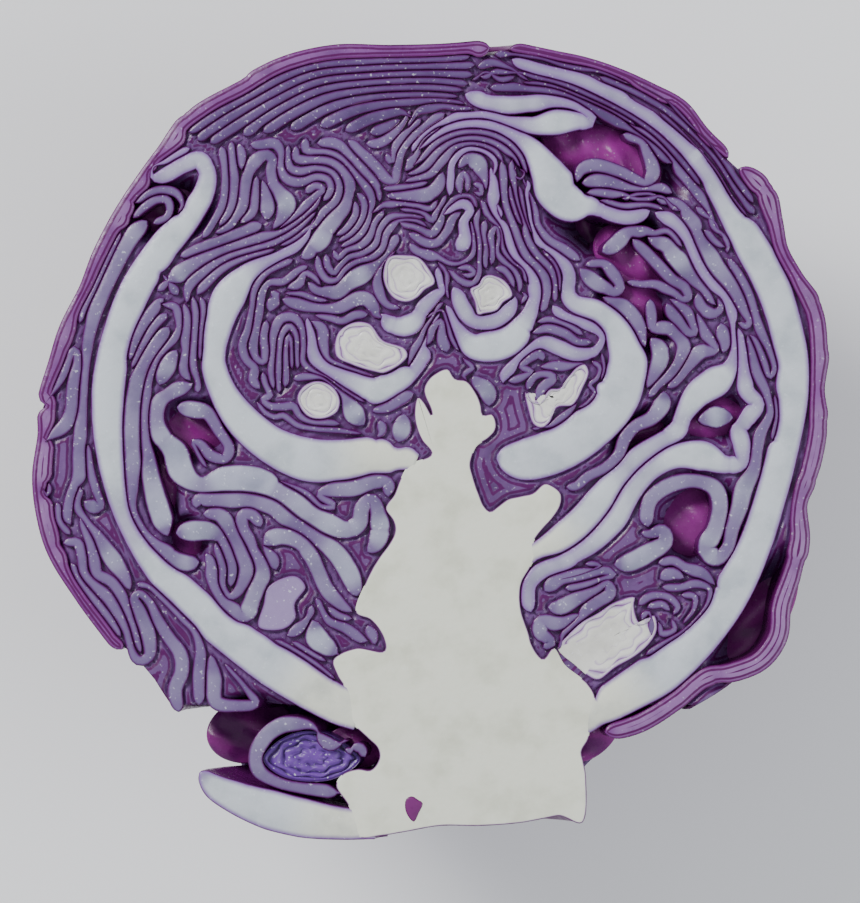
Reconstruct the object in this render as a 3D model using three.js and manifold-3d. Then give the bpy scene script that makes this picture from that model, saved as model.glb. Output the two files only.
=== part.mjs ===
// Half a head of red cabbage, cut lengthwise through its core and lying on its rounded back with the cut
// face up. Units are millimetres. +Z is up and square to the cut face, +Y runs from the stem to the top of
// the head, and +X is to the right of the cut face seen from above. The origin is on the surface that the
// cabbage rests on, under the middle of the head.
//
// A cabbage head is one short stem, the core, with leaves that wrap round each other. Each leaf is drawn as
// its section in the cut face: a route through the middle of the leaf, with half its thickness beside the
// points. The section is then swept round under the cut face, so that a leaf becomes a cupped shell.
import * as THREE from "three";
import { mergeVertices } from "three/addons/utils/BufferGeometryUtils.js";
import Module from "manifold-3d";

const wasm = await Module();
wasm.setup();

// ---------------------------------------------------------------------------------------------------
// Driving sizes
const HEIGHT = 77; // from the resting spot to the cut face
const CLEARANCE = 0.75; // between two leaves that lie against each other
const FACET = 8; // longest edge of a leaf's section
const FLATTENING = 0.2; // how far a corner of a section may stand off its simplified outline
const SWEEP = [0, 28, 53, 75].map(THREE.MathUtils.degToRad); // how far round the leaves are swept
const HEART_DEPTH = 14; // how deep even the innermost leaves reach
const AXIS_ROUNDING = 40; // how softly the depth turns over at the middle of the head

// The head's outline in the cut face, as half widths from the middle line at stations along +Y.
const RIGHT_SIDE = [
  [-80, 32], [-70, 36], [-64, 41], [-57, 49], [-49, 63], [-42, 70.5], [-33, 73.5], [-20, 77],
  [-5, 79], [10, 79.6], [22, 79.4], [32, 76.5], [42, 71.5], [50, 68.5], [56, 62.5], [61, 57],
  [67, 51], [72, 42], [76, 35], [79, 20], [80, 10],
];
const LEFT_SIDE = [
  [-80, 34], [-72, 46], [-64, 48], [-56, 52], [-46, 59], [-38, 67.5], [-28, 73.5], [-18, 77.6],
  [-8, 79.6], [4, 79.2], [16, 76.5], [28, 71.5], [38, 67.8], [48, 62.4], [56, 57], [62, 52.5],
  [68, 45.5], [72, 37], [76, 29], [78.5, 18], [80, 8],
];
// How deep the back of the head bulges below the cut face, at stations along +Y.
const BACK_DEPTH = [
  [-80, 19], [-72, 25], [-64, 34], [-56, 45], [-46, 57], [-34, 66], [-20, 71.8], [-4, 74],
  [12, 73.2], [26, 70], [40, 63.5], [52, 54.5], [62, 43.5], [70, 31.5], [76, 19], [80, 7],
];

// ---------------------------------------------------------------------------------------------------
// The head as a whole: where a point of the cut face goes as it is swept round to the back

// The value at v of a smooth curve through stations [v, value], held level past its ends.
function stationCurve(stations) {
  const at = new THREE.CatmullRomCurve3(
    stations.map(([v, value]) => new THREE.Vector3(v, value, 0)),
    false,
    "centripetal",
  ).getPoints(stations.length * 12);
  return (v) => {
    const next = at.findIndex((p) => p.x >= v);
    if (next <= 0) return next === 0 ? at[0].y : at[at.length - 1].y;
    const a = at[next - 1];
    const b = at[next];
    return THREE.MathUtils.mapLinear(v, a.x, b.x, a.y, b.y);
  };
}

const rightHalfWidth = stationCurve(RIGHT_SIDE);
const leftHalfWidth = stationCurve(LEFT_SIDE);
const backDepth = stationCurve(BACK_DEPTH);
const softened = (distance) => Math.hypot(distance, AXIS_ROUNDING) - AXIS_ROUNDING;

// The point of the cut face at (x, y), swept round by an angle. It keeps its place along the stem.
function swept(x, y, angle) {
  const halfWidth = x > 0 ? rightHalfWidth(y) : leftHalfWidth(y);
  const outward = softened(Math.abs(x)) / softened(halfWidth);
  const deepest = backDepth(y);
  const shallowest = Math.min(HEART_DEPTH, deepest / 2);
  const depth = shallowest + (deepest - shallowest) * outward;
  return new THREE.Vector3(x * Math.cos(angle), y, HEIGHT - depth * Math.sin(angle));
}

// ---------------------------------------------------------------------------------------------------
// Solids from lists of points

// A closed solid between rings of equal numbers of points, closed at both ends by the cap's triangles.
function solidOfRings(rings, cap) {
  const count = rings[0].length;
  const indices = [];
  for (let r = 0; r + 1 < rings.length; r++)
    for (let i = 0; i < count; i++) {
      const a = r * count + i;
      const b = r * count + ((i + 1) % count);
      indices.push(a, a + count, b, b, a + count, b + count);
    }
  const last = (rings.length - 1) * count;
  for (const [a, b, c] of cap) {
    indices.push(a, b, c);
    indices.push(last + a, last + c, last + b);
  }
  const geometry = new THREE.BufferGeometry();
  geometry.setFromPoints(rings.flat());
  geometry.setIndex(indices);
  geometry.computeVertexNormals();
  return geometry;
}

// A section outline of the cut face, swept round to the back of the head.
function sweptSolid(outline) {
  const points = THREE.ShapeUtils.isClockWise(outline) ? [...outline].reverse() : outline;
  const cap = THREE.ShapeUtils.triangulateShape(points, []);
  return solidOfRings(SWEEP.map((angle) => points.map((p) => swept(p.x, p.y, angle))), cap);
}

// ---------------------------------------------------------------------------------------------------
// The core: the stem with its growing tip, and the stubs where the leaves grow from it
const CORE_OUTLINE = [
  [3.5, 14.2], [0.2, 12.6], [-1.2, 9], [0, 4.6], [-1.6, 2], [0.4, -2.8], [-4.2, -6.4], [-6.4, -10.5],
  [-6.2, -17], [-7.2, -20.6], [-11.4, -26.5], [-12.4, -30], [-12.4, -34], [-9.4, -42.4], [-15.2, -43.6],
  [-17, -50.4], [-13.6, -57.4], [-9.8, -63.4], [-11.8, -66.8], [-15.6, -69.4], [-14.6, -74.4],
  [-14.4, -79.4], [-3, -77.8], [11, -77.3], [20, -76.3], [26.5, -75.2], [30.6, -76.6], [33, -68],
  [29, -61], [30.4, -56], [32.8, -50.4], [31, -43.4], [23, -44.2], [19.2, -40], [17.6, -31],
  [20, -24.6], [20.2, -20.6], [24.6, -15.6], [25.4, -10.6], [20.5, -11.5], [12, -14.8], [8.6, -8],
  [8.4, -2], [12.6, 2.2], [9.6, 5], [9.8, 9.6], [7, 12],
];
const coreOutline = CORE_OUTLINE.map(([x, y]) => new THREE.Vector2(x, y));

// ---------------------------------------------------------------------------------------------------
// The leaves: name, then the route of the section as [x, y] or [x, y, half thickness]
const LEAVES = {
  // Outside layers and the two thick ribs that run from the core up each side.
  outer_leaf_right: [
    [35, -58.4, 1.4], [42, -56.4], [49, -52], [55, -47.4], [61, -46.4, 1.8], [66.4, -44],
    [69.6, -39.4], [70.4, -33], [72.4, -27, 1.7], [74, -20, 1.3], [73.8, -12.5, 1],
    [76.2, -5.5, 1.7], [77.6, 2], [77.2, 10, 1], [77.8, 19, 1.6], [76.8, 26], [73, 32.4, 1],
    [70, 38], [68.8, 44], [66.8, 50, 1.6], [62, 54.4, 0.9],
  ],
  outer_leaf_left: [
    [-61.5, -41.8, 1], [-69.5, -31], [-75, -22], [-77, -14, 1.3], [-77.6, -7], [-76.8, 1, 1],
    [-76.6, 8, 1.2], [-74.6, 15], [-72.6, 22, 1], [-68.6, 30], [-65.6, 37, 1.3], [-62, 44],
    [-57.4, 51.6, 1], [-53, 57.6], [-47, 64.8, 1.6], [-38, 70], [-29, 74.9, 1.2], [-19, 77.2],
    [-8, 77.3, 1], [3, 77.6], [12, 78.4],
  ],
  outer_leaf_top: [
    [16, 78.3, 0.8], [24, 76.4, 1], [31, 75, 0.9], [37.5, 72.8], [44, 69.7, 1.1], [50, 66.4],
    [54.4, 61], [59.6, 56.4, 0.8],
  ],
  thick_leaf_right: [
    [33, -54.3, 3], [39, -50.8, 3.4], [46, -46.4, 4], [53, -39.6, 4.2], [59.6, -31.4, 3.7],
    [64.6, -22, 3.2], [68, -12, 2.9], [70.6, -2], [72.2, 8], [72.4, 16, 3.1], [70.8, 24],
    [68, 32, 3.3], [64.4, 38.6, 3.4], [60.8, 45, 2.6], [57.4, 51.6, 2.7], [52.6, 57.6, 2.6],
    [47, 62.2, 2], [41, 65.6, 1.9], [34.6, 69.2, 1.6], [28, 72.2, 1.5], [21, 74.4], [16, 76],
  ],
  thick_leaf_left: [
    [-18, -53, 3], [-24, -49.6, 3.4], [-31, -45.6, 3.8], [-39, -40.4], [-47, -33.4, 3.5],
    [-54.4, -25.4, 3.2], [-60, -16.4, 2.8], [-63.2, -7, 3], [-64.4, 3, 3.1], [-64, 13],
    [-62, 22.4, 2.9], [-58.4, 31, 3], [-53, 39, 2.9], [-48, 45.4, 2.4], [-45, 50.6, 2],
    [-44.8, 54.4, 1.6], [-48, 55.3, 1.3], [-52, 53.8, 1.1], [-55.4, 53],
  ],
  // Between the outer leaf and the thick rib on the left.
  left_leaf_1: [
    [-60.6, 43, 1], [-65, 34], [-69, 26.5], [-71, 18], [-73, 10, 1.1], [-72.5, 3], [-73.4, -6, 1.4],
    [-73, -14], [-74, -20, 1.1],
  ],
  left_leaf_2: [
    [-57, 43.8, 1.2], [-62.4, 35.6], [-66.6, 26], [-69, 15, 0.9], [-69.7, 3], [-69.4, -7, 1.2],
    [-70.4, -15],
  ],
  left_leaf_4: [
    [-72, -21.6, 1.3], [-69.6, -27.4, 1.5], [-65, -32.4], [-61.6, -38], [-58.4, -43, 1.3],
    [-56.4, -39.6], [-58.8, -32.4, 1],
  ],
  base_leaf: [[-17, -76.4, 2.6], [-25, -75.2, 3], [-34, -73.2, 3.2], [-41, -70.2, 3], [-45, -66.4, 2]],
  base_bud: [[-17.5, -66, 1.8], [-24, -63, 5.4], [-31, -62.4, 5.4], [-36, -62.4, 3]],
  // Packed against the inside of the thick rib on the left.
  left_leaf_9: [
    [-52, 23.6, 1.2], [-56, 19.6, 1.5], [-58.8, 12, 1.7], [-59.6, 3], [-59.6, -7],
    [-57.4, -15, 1.8], [-52.6, -21.6], [-46.4, -24.4, 1.9],
  ],
  left_leaf_10: [
    [-50.6, 19.6, 1.6], [-54, 14, 2], [-56.2, 6, 1.4], [-56, -3, 1.6], [-54.6, -11], [-53, -17.6],
  ],
  left_leaf_11: [
    [-48.6, 10.2, 1], [-53.2, 8.2, 1.2], [-54.2, 3, 1.5], [-50.6, -2, 2], [-48.6, -7.4, 2.2],
    [-41, -7.6, 2.5], [-33.6, -8.4, 2.2], [-26.4, -12, 1.9], [-20.6, -16.4], [-15.2, -17.4, 1.4],
    [-13.4, -12.6],
  ],
  left_leaf_15: [
    [-46, -12, 1.3], [-40, -11.8], [-33, -12.8, 1.6], [-27, -16.2], [-21, -20.6, 1.8],
    [-17.6, -25.4], [-15, -31.4, 1.7],
  ],
  left_leaf_18: [[-38.4, -16.8, 2.6], [-36.4, -22, 2.8], [-35.8, -28, 3], [-38.4, -33.6, 2.2]],
  left_leaf_19: [
    [-31.4, -19.6, 1.4], [-25.4, -21, 1.8], [-22.4, -27], [-19.4, -31.6, 1.5], [-15.8, -35.4, 1],
  ],
  // The thick rib that curls under the left buds, and what it holds.
  inner_leaf_left: [
    [-4.4, -1.4, 2], [-11, -3.2, 3.4], [-18, -4.2, 3.9], [-25, -3.8], [-32, -0.8, 3.5],
    [-37.6, 4, 3.2], [-41.4, 9.6, 2.7], [-43.4, 16, 2.4], [-42.6, 22.6, 2.9], [-40, 29, 3.3],
    [-35.6, 33.4, 1.8], [-30.4, 36.6, 1.3], [-26.4, 39.8, 1], [-23, 44.4],
  ],
  left_fold_1: [
    [-30.6, 34.6, 1.1], [-34.6, 30.6, 1.4], [-35.4, 23.4, 1.9], [-35.8, 16.6], [-33.4, 11.6, 1.3],
  ],
  left_fold_2: [
    [-24.8, 33.8, 1.2], [-29.4, 30.4, 1.5], [-32, 25.4, 1.3], [-31.6, 18.6, 1.2], [-31, 10.4, 1.6],
  ],
  left_fold_4: [[-38.4, 13.4, 1.8], [-33.8, 7.2, 2], [-28, 4, 1.1], [-20.4, 2.2, 0.8]],
  left_fold_5: [
    [-29.6, 28, 1], [-24, 26.6, 1.2], [-17.6, 26.4, 1.5], [-12.6, 28.2, 1.6], [-10.4, 25.4, 1],
  ],
  bud_leaf_left: [
    [-23.4, 23, 1.2], [-23, 17.6, 1.6], [-19, 13.2, 2], [-12.8, 10.6, 2.4], [-6.4, 11.2, 2.6],
    [-2.4, 15.6, 2], [-0.2, 20.4, 1.2], [2, 24.6, 0.9],
  ],
  bud_left_upper: [[-19.4, 20.6, 1.6], [-14, 19.6, 3.8], [-8.6, 16.8, 3.6], [-6, 17.4, 2]],
  bud_left_lower: [[-27.4, 8.4, 1.6], [-23.6, 8.2, 3.6], [-19.6, 5.4, 2.4]],
  bud_centre: [[-4.6, 36, 2.6], [-4.8, 31.4, 4.4], [-5.4, 28, 2.4]],
  bud_leaf_centre: [
    [-10.4, 31.6, 1], [-9.6, 27, 1.4], [-5.6, 23.4, 2.8], [-1.4, 26.4, 1.8], [1, 30.4, 1],
  ],
  // Loops and folds above the left buds.
  upper_fold_1: [
    [-50.6, 35, 1.6], [-44.6, 37.6, 1.8], [-37.4, 40.4, 1.7], [-31, 44, 2], [-26, 48.6, 2.2],
    [-21.4, 50.4, 1.4],
  ],
  upper_fold_2: [
    [-48.2, 12, 1.3], [-48.4, 20], [-48, 28, 1.4], [-42, 34.4, 1.7], [-34.4, 37.6],
    [-28, 41.8, 1.6], [-22.6, 47, 1.4], [-17.6, 49.8, 1.3], [-17.4, 53.6, 1.2],
  ],
  upper_fold_4: [
    [-39, 43.6, 1.1], [-37, 49, 1.4], [-35.4, 55.4, 1.3], [-31.6, 56.4, 1.1], [-31.2, 51, 1.6],
    [-29.4, 46.4, 1],
  ],
  upper_fold_6: [
    [-25.4, 59.8, 1.1], [-20, 60, 1.2], [-15.4, 57, 1.8], [-12.4, 52, 1.9], [-12, 45.6, 1.7],
    [-15.4, 41, 1.6], [-20.6, 36.4, 1.3],
  ],
  upper_fold_8: [
    [-15.6, 37, 1.2], [-11, 39.4, 1.6], [-8, 43.6, 1.7], [-2.4, 44, 1.3], [1, 42, 1.1],
    [3.6, 45.6, 1],
  ],
  upper_fold_10: [[-9, 51, 0.8], [-4, 53, 1.4], [-0.4, 57.6, 2.1], [4, 62.6, 1.2]],
  // The thick rib that curls under the right buds, and what it holds.
  inner_leaf_right: [
    [13.4, -3.4, 3.9], [19, -3.9, 4], [26.4, -1.5, 4.2], [32.6, 3, 4.3], [37.2, 8.6, 4.4],
    [39.6, 15.2, 3.7], [38, 21.4, 3], [34, 25.6, 2.2], [29, 27.3, 1.7], [27, 30, 1.4],
    [27.4, 33.2, 1.2], [25.4, 36.4, 1], [22, 39.2], [20.4, 42.6], [19.8, 47], [19.4, 52],
  ],
  cup_leaf: [
    [3.2, 27, 0.9], [5, 22.6, 1.2], [8.4, 18.9, 2.4], [12, 18.7, 3], [15.8, 19.8, 2.8],
    [18.8, 22.8, 2.3], [20.7, 26.6, 1.4], [21, 30, 1], [19.6, 33.6], [16.8, 36.8, 1.2],
    [15.2, 41.6], [13.2, 46], [12.6, 50], [12.2, 54.6, 0.8],
  ],
  cup_leaf_inner: [
    [17, 28.8, 0.5], [15.8, 25.6, 1.2], [12.4, 23.6, 1.5], [8.2, 24.4, 1.6], [6, 27.4, 1.6],
    [4.7, 30.6, 0.9],
  ],
  bud_right: [[12, 31.4, 1.9], [12, 28.8, 3.1], [11.4, 27, 2]],
  folds_over_bud: [
    [6.6, 33.2, 1.2], [9.4, 35, 1], [10.8, 38.4, 1.6], [12, 41.6, 1.4], [13, 38.2], [14, 35.4, 1.2],
    [16.4, 32.8, 0.9],
  ],
  cup_fold_1: [
    [23, 25.4, 1], [24.2, 29.4, 1.4], [23.4, 34, 1.6], [20, 37.4, 1.7], [18, 42, 1.8],
    [16.6, 47, 1.7], [15.8, 52], [15.4, 56, 1.4],
  ],
  rib_leaf_right: [
    [13.8, 2.4, 1.1], [15.6, 5.4, 2.2], [16, 9.4, 2.4], [14.6, 12.8, 1.6], [16.8, 15, 1.2],
    [19.6, 18.6], [23, 20.6, 1.4], [27, 18, 1.3], [31.4, 16.8, 1.6], [34.2, 20, 1.2],
    [30.6, 22.8, 1.5], [26, 24.2, 1],
  ],
  rib_bud_right: [[21.4, 2.8, 1.2], [21.6, 6, 2.4], [24, 10, 2.4], [28, 11.6, 2.8], [30.6, 14, 1.5]],
  core_leaf_right: [[12, 10, 1], [11.6, 13.4, 1.3], [9.2, 14.6, 0.9], [6.4, 15.6, 0.7]],
  // Leaves that fill the right side between the thick rib and the inner leaf.
  arm_leaf_1: [
    [22.4, -21.4, 1.8], [27.4, -18.6, 3], [33.4, -12.6, 3.4], [38.4, -7.2, 2.6], [43, -2.6, 2.2],
    [48, 0.8, 1.6], [50.4, 5, 1.7], [54, 9.6, 2.8], [58, 12, 2.8], [60.6, 15.6, 1.2], [60.4, 21],
    [60, 26, 0.9], [56.6, 31], [53.6, 35.4], [51.4, 40.4], [47.6, 44.4, 1.2], [43, 45.8],
    [39.4, 45.2, 1.4],
  ],
  arm_leaf_2: [
    [19.5, -33.6, 0.9], [19.8, -29.2, 1.1], [23, -25.8], [28.6, -23.2, 1.4], [34, -18.8, 2.4],
    [38.8, -12, 2.6], [43, -6.4, 2.2], [49, -3, 2.3], [55.4, -3.1, 2.9], [60, -5, 1.5],
    [62.2, -2, 1.3], [62.4, 2.4], [65.2, 6, 1.7], [63, 11, 1.6], [62.4, 17, 1.1], [62.4, 22, 0.8],
  ],
  arm_leaf_3: [
    [38, -25, 1.2], [42.4, -23, 1.8], [46.4, -20.2, 1.2], [43, -17.6], [43.4, -13], [48, -8.9, 1.1],
    [53.4, -7.8], [57, -11], [57.4, -16], [55.4, -21.4, 1.4], [59, -22.6, 1.2], [61, -16],
    [63, -9.6, 1.5], [65.4, -3.4, 1], [67.6, 3.6], [66.4, 10.4], [65, 17], [65.8, 22.4, 0.9],
    [63.4, 29.4], [60.6, 35.4, 0.8],
  ],
  arm_fold_1: [
    [27.2, -9.4, 0.6], [31, -8, 0.9], [35.4, -5.6, 1], [38.4, -1.6, 1.1], [41.4, 3], [46, 6.8, 1.3],
    [47.6, 10.6, 0.8], [51, 15, 1], [55, 17.8], [57, 21], [54.4, 24],
  ],
  arm_fold_2: [[43.6, 8.8, 0.7], [45, 13.4, 1.3], [46.4, 18, 1.8], [48.4, 21.6, 1.6], [45.4, 25, 1]],
  arm_fold_3: [
    [50.8, 21.6, 1.2], [51.4, 24.6], [48.6, 27.4, 1], [51.6, 29.2], [48.6, 32.4, 1.2],
    [45.4, 36.2, 1.6], [41.4, 40.2, 1.4], [36.6, 38.6, 1.1],
  ],
  side_leaf_right: [
    [63.2, 24.6, 0.7], [61, 29.6, 1.3], [57, 34.4, 1.5], [54.2, 39.4, 1.4], [51, 44.6, 1.2],
    [46, 48.6, 1], [38.4, 48.8, 1.2], [31.6, 51.4, 1.4], [31.4, 55, 1], [38, 54.2], [43.6, 52.2],
  ],
  pocket_leaf: [
    [21.8, -41.4, 1.4], [22.6, -36.6, 1.6], [28, -36.8, 1.2], [31, -33, 1.1], [27.4, -31.6, 1.4],
    [22.8, -31, 1.2], [24.4, -28], [30, -26.6, 1.3], [35.4, -27.6, 1],
  ],
  pocket_bud: [
    [27.4, -42, 2.6], [34, -39.8, 4.4], [41, -36.6, 4.2], [47, -33, 3.6], [51.6, -30.4, 2.4],
  ],
  // Leaves that arch over the heart, and the closely packed leaves at the top of the head.
  wedge_leaf: [
    [33, 46.8, 1.6], [28.4, 47.4, 3.8], [25.2, 50, 4.2], [23, 54, 3.3], [20.4, 58.2, 1.9],
    [16.6, 61.2, 1.1], [11, 62.8, 1], [5, 62.4], [0.6, 60.4], [-2.6, 56.4, 1.6],
  ],
  lens_leaf: [
    [8, 69, 1], [14, 67.2, 1.8], [20, 67.3, 1.6], [26, 67.6, 0.9], [31.6, 65, 1], [28, 63.4, 2],
    [23.6, 63.2, 2.2], [18, 63.2, 1.2], [11, 65.1, 0.8], [4.6, 64.4], [0, 62.4],
  ],
  arch_leaf_1: [
    [-5, 53.6, 0.8], [-0.6, 56, 1], [3, 59.6], [8, 61], [13.4, 60], [17.2, 56.6], [19.4, 51.6, 0.9],
  ],
  arch_leaf_2: [
    [-6, 48.4, 1.4], [0, 49.4, 1.8], [2.8, 53.6, 1], [5.4, 57.8, 0.9], [10, 58.4],
    [13.4, 56.6, 0.7],
  ],
  heart_leaf: [
    [-3.4, 38.6, 0.8], [1, 37.6], [4.8, 38.4, 1.8], [6.8, 41.6, 0.9], [7.4, 45.6, 1.6],
    [9.6, 48, 0.9], [11, 45.4],
  ],
  top_leaf_1: [
    [-49, 57.8, 1.2], [-44, 62.6, 1.3], [-36, 67.4], [-26, 71.6], [-14, 73.6, 1.5], [-2, 74.2],
    [8, 75, 1.2], [12.6, 74.8, 1],
  ],
  top_leaf_2: [
    [-41, 61, 1], [-33, 65.2, 1.2], [-24, 68.8], [-13, 70.4, 1.4], [-2, 71], [7, 71.2, 1],
    [16, 71.6, 1.2], [24, 70.8], [32, 68], [40, 63.8, 1.1], [47, 58.6, 0.9], [53, 51.4],
    [57.4, 43.4, 0.8],
  ],
  top_leaf_4: [
    [36, 71.4, 1], [43, 68.4], [50, 63.6, 1.2], [56, 57.2], [61, 50, 1.1], [65.4, 45.4, 1.2],
  ],
};

// ---------------------------------------------------------------------------------------------------
// Sections: every leaf is drawn as a flat slab, and cut where it would run into a leaf drawn before it

// A flat slab, 1 mm high, with a convex or simple outline.
function slab(outline) {
  const geometry = new THREE.ExtrudeGeometry(new THREE.Shape(outline), { depth: 1, bevelEnabled: false });
  geometry.deleteAttribute("normal");
  geometry.deleteAttribute("uv");
  const merged = mergeVertices(geometry, 1e-4);
  const vertProperties = new Float32Array(merged.attributes.position.array);
  const triVerts = new Uint32Array(merged.index.array);
  return new wasm.Manifold(new wasm.Mesh({ numProp: 3, vertProperties, triVerts }));
}

const joined = (solids) => solids.reduce((whole, solid) => whole.add(solid));

// The slab of a leaf: a run of four-sided links with a round joint at each point of its route.
function leafSlab(route, extra) {
  let thickness = 1;
  const stations = route.map(([x, y, given]) => {
    thickness = given ?? thickness;
    return new THREE.Vector3(x, y, thickness);
  });
  const curve = new THREE.CatmullRomCurve3(stations, false, "centripetal");
  const samples = curve.getPoints(2 * (route.length - 1));
  const links = [];
  samples.forEach((a, i) => {
    const round = [];
    for (let corner = 0; corner < 8; corner++) {
      const turn = (corner + 0.5) * (Math.PI / 4);
      const reach = a.z + extra;
      round.push(new THREE.Vector2(a.x + reach * Math.cos(turn), a.y + reach * Math.sin(turn)));
    }
    links.push(slab(round));
    const b = samples[i + 1];
    if (!b) return;
    const side = new THREE.Vector2(a.y - b.y, b.x - a.x).normalize();
    links.push(
      slab([
        new THREE.Vector2(a.x, a.y).addScaledVector(side, -a.z - extra),
        new THREE.Vector2(b.x, b.y).addScaledVector(side, -b.z - extra),
        new THREE.Vector2(b.x, b.y).addScaledVector(side, b.z + extra),
        new THREE.Vector2(a.x, a.y).addScaledVector(side, a.z + extra),
      ]),
    );
  });
  return joined(links);
}

// An outline moved outwards at every corner.
function grown(outline, distance) {
  return outline.map((p, i) => {
    const before = outline[(i + outline.length - 1) % outline.length];
    const after = outline[(i + 1) % outline.length];
    const along = after.clone().sub(before).normalize();
    return new THREE.Vector2(p.x + along.y * distance, p.y - along.x * distance);
  });
}

// The outline of the largest piece of a slab, read from the edges of its top face.
function outlineOf(solid) {
  const largest = solid.decompose().sort((a, b) => b.volume() - a.volume())[0];
  const mesh = largest.getMesh();
  const at = (i) => new THREE.Vector3().fromArray(mesh.vertProperties, i * mesh.numProp);
  const edges = new Map();
  for (let t = 0; t < mesh.triVerts.length; t += 3) {
    const corners = [...mesh.triVerts.slice(t, t + 3)];
    if (corners.some((i) => at(i).z < 0.5)) continue;
    corners.forEach((a, k) => edges.set(`${a} ${corners[(k + 1) % 3]}`, [a, corners[(k + 1) % 3]]));
  }
  const next = new Map();
  for (const [a, b] of edges.values()) if (!edges.has(`${b} ${a}`)) next.set(a, b);
  let longest = [];
  while (next.size) {
    const loop = [];
    let here = next.keys().next().value;
    while (next.has(here)) {
      const following = next.get(here);
      next.delete(here);
      loop.push(new THREE.Vector2(at(here).x, at(here).y));
      here = following;
    }
    if (loop.length > longest.length) longest = loop;
  }
  return longest;
}

// An outline with its small corners left out, and no edge longer than a facet.
function simplified(outline) {
  const thinned = (points) => {
    const [a, b] = [points[0], points[points.length - 1]];
    const line = new THREE.Line3(new THREE.Vector3(a.x, a.y, 0), new THREE.Vector3(b.x, b.y, 0));
    const offsets = points.map((p) => {
      const point = new THREE.Vector3(p.x, p.y, 0);
      return line.closestPointToPoint(point, true, new THREE.Vector3()).distanceTo(point);
    });
    const worst = offsets.indexOf(Math.max(...offsets));
    if (offsets[worst] < FLATTENING) return [a, b];
    return [...thinned(points.slice(0, worst + 1)).slice(0, -1), ...thinned(points.slice(worst))];
  };
  const far = outline.reduce((best, p, i) => {
    return p.distanceTo(outline[0]) > outline[best].distanceTo(outline[0]) ? i : best;
  }, 0);
  const corners = [
    ...thinned(outline.slice(0, far + 1)).slice(0, -1),
    ...thinned([...outline.slice(far), outline[0]]).slice(0, -1),
  ];
  return corners.flatMap((p, i) => {
    const q = corners[(i + 1) % corners.length];
    const parts = Math.ceil(p.distanceTo(q) / FACET);
    return Array.from({ length: parts }, (_, k) => p.clone().lerp(q, k / parts));
  });
}

// ---------------------------------------------------------------------------------------------------
// The leaf that wraps the back of the head, with the flat spot that the head rests on
const BACK_LEAF = {
  from: -70,
  to: 73,
  margin: 36,
  wave: 5,
  gap: 0.9,
  thickness: 3.6,
  across: 15,
  along: 20,
};

function backLeaf() {
  const { from, to, margin, wave, gap, thickness, across, along } = BACK_LEAF;
  const surface = (i, j, offset) => {
    const y = THREE.MathUtils.lerp(from, to, j / along);
    const start = margin + wave * Math.sin(y / 9) + 12 * Math.abs(y / 80) ** 3;
    const angle = THREE.MathUtils.degToRad(THREE.MathUtils.lerp(start, 180 - start, i / across));
    const halfWidth = Math.cos(angle) > 0 ? rightHalfWidth(y) : leftHalfWidth(y);
    const drop = (backDepth(y) + offset) * Math.sin(angle);
    return new THREE.Vector3((halfWidth + offset) * Math.cos(angle), y, Math.max(HEIGHT - drop, 0));
  };
  const rings = [];
  for (let j = 0; j <= along; j++) {
    const inner = [];
    const outer = [];
    for (let i = 0; i <= across; i++) {
      inner.push(surface(i, j, gap));
      outer.unshift(surface(i, j, gap + thickness));
    }
    rings.push([...inner, ...outer]);
  }
  const cap = [];
  for (let i = 0; i < across; i++) {
    const far = 2 * across + 1 - i;
    cap.push([i, i + 1, far], [i + 1, far - 1, far]);
  }
  return solidOfRings(rings, cap);
}

// ---------------------------------------------------------------------------------------------------
// The assembly
const group = new THREE.Group();

function addPiece(name, geometry, color, roughness) {
  const material = new THREE.MeshStandardMaterial({ color, roughness, metalness: 0 });
  const mesh = new THREE.Mesh(geometry, material);
  mesh.name = name;
  group.add(mesh);
}

addPiece("core", sweptSolid(coreOutline), 0xe2e2d4, 0.4);
addPiece("back_leaf", backLeaf(), 0x5f2a63, 0.45);

let taken = slab(grown(coreOutline, CLEARANCE));
for (const [name, route] of Object.entries(LEAVES)) {
  const outline = simplified(outlineOf(leafSlab(route, 0).subtract(taken)));
  taken = taken.add(leafSlab(route, CLEARANCE));
  const thick = name.startsWith("thick") || name.startsWith("inner");
  addPiece(name, sweptSolid(outline), thick ? 0xc8d2d7 : 0x8c7899, 0.4);
}

export default group;
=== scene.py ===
import math

import bmesh
import bpy
import numpy as np
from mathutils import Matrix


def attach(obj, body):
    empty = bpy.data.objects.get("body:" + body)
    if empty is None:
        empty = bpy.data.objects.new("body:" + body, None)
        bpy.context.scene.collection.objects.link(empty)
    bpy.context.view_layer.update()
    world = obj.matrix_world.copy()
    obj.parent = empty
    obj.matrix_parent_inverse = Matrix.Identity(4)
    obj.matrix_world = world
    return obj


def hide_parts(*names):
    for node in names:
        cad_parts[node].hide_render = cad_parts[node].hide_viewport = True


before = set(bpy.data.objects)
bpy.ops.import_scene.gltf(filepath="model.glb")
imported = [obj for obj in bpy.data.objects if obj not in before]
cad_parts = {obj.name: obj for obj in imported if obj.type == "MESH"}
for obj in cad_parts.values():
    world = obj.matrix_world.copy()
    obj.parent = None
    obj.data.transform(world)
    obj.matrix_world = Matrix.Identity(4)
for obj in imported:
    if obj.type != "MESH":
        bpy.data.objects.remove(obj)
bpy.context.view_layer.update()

bpy.ops.object.select_all(action="DESELECT")

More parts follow.
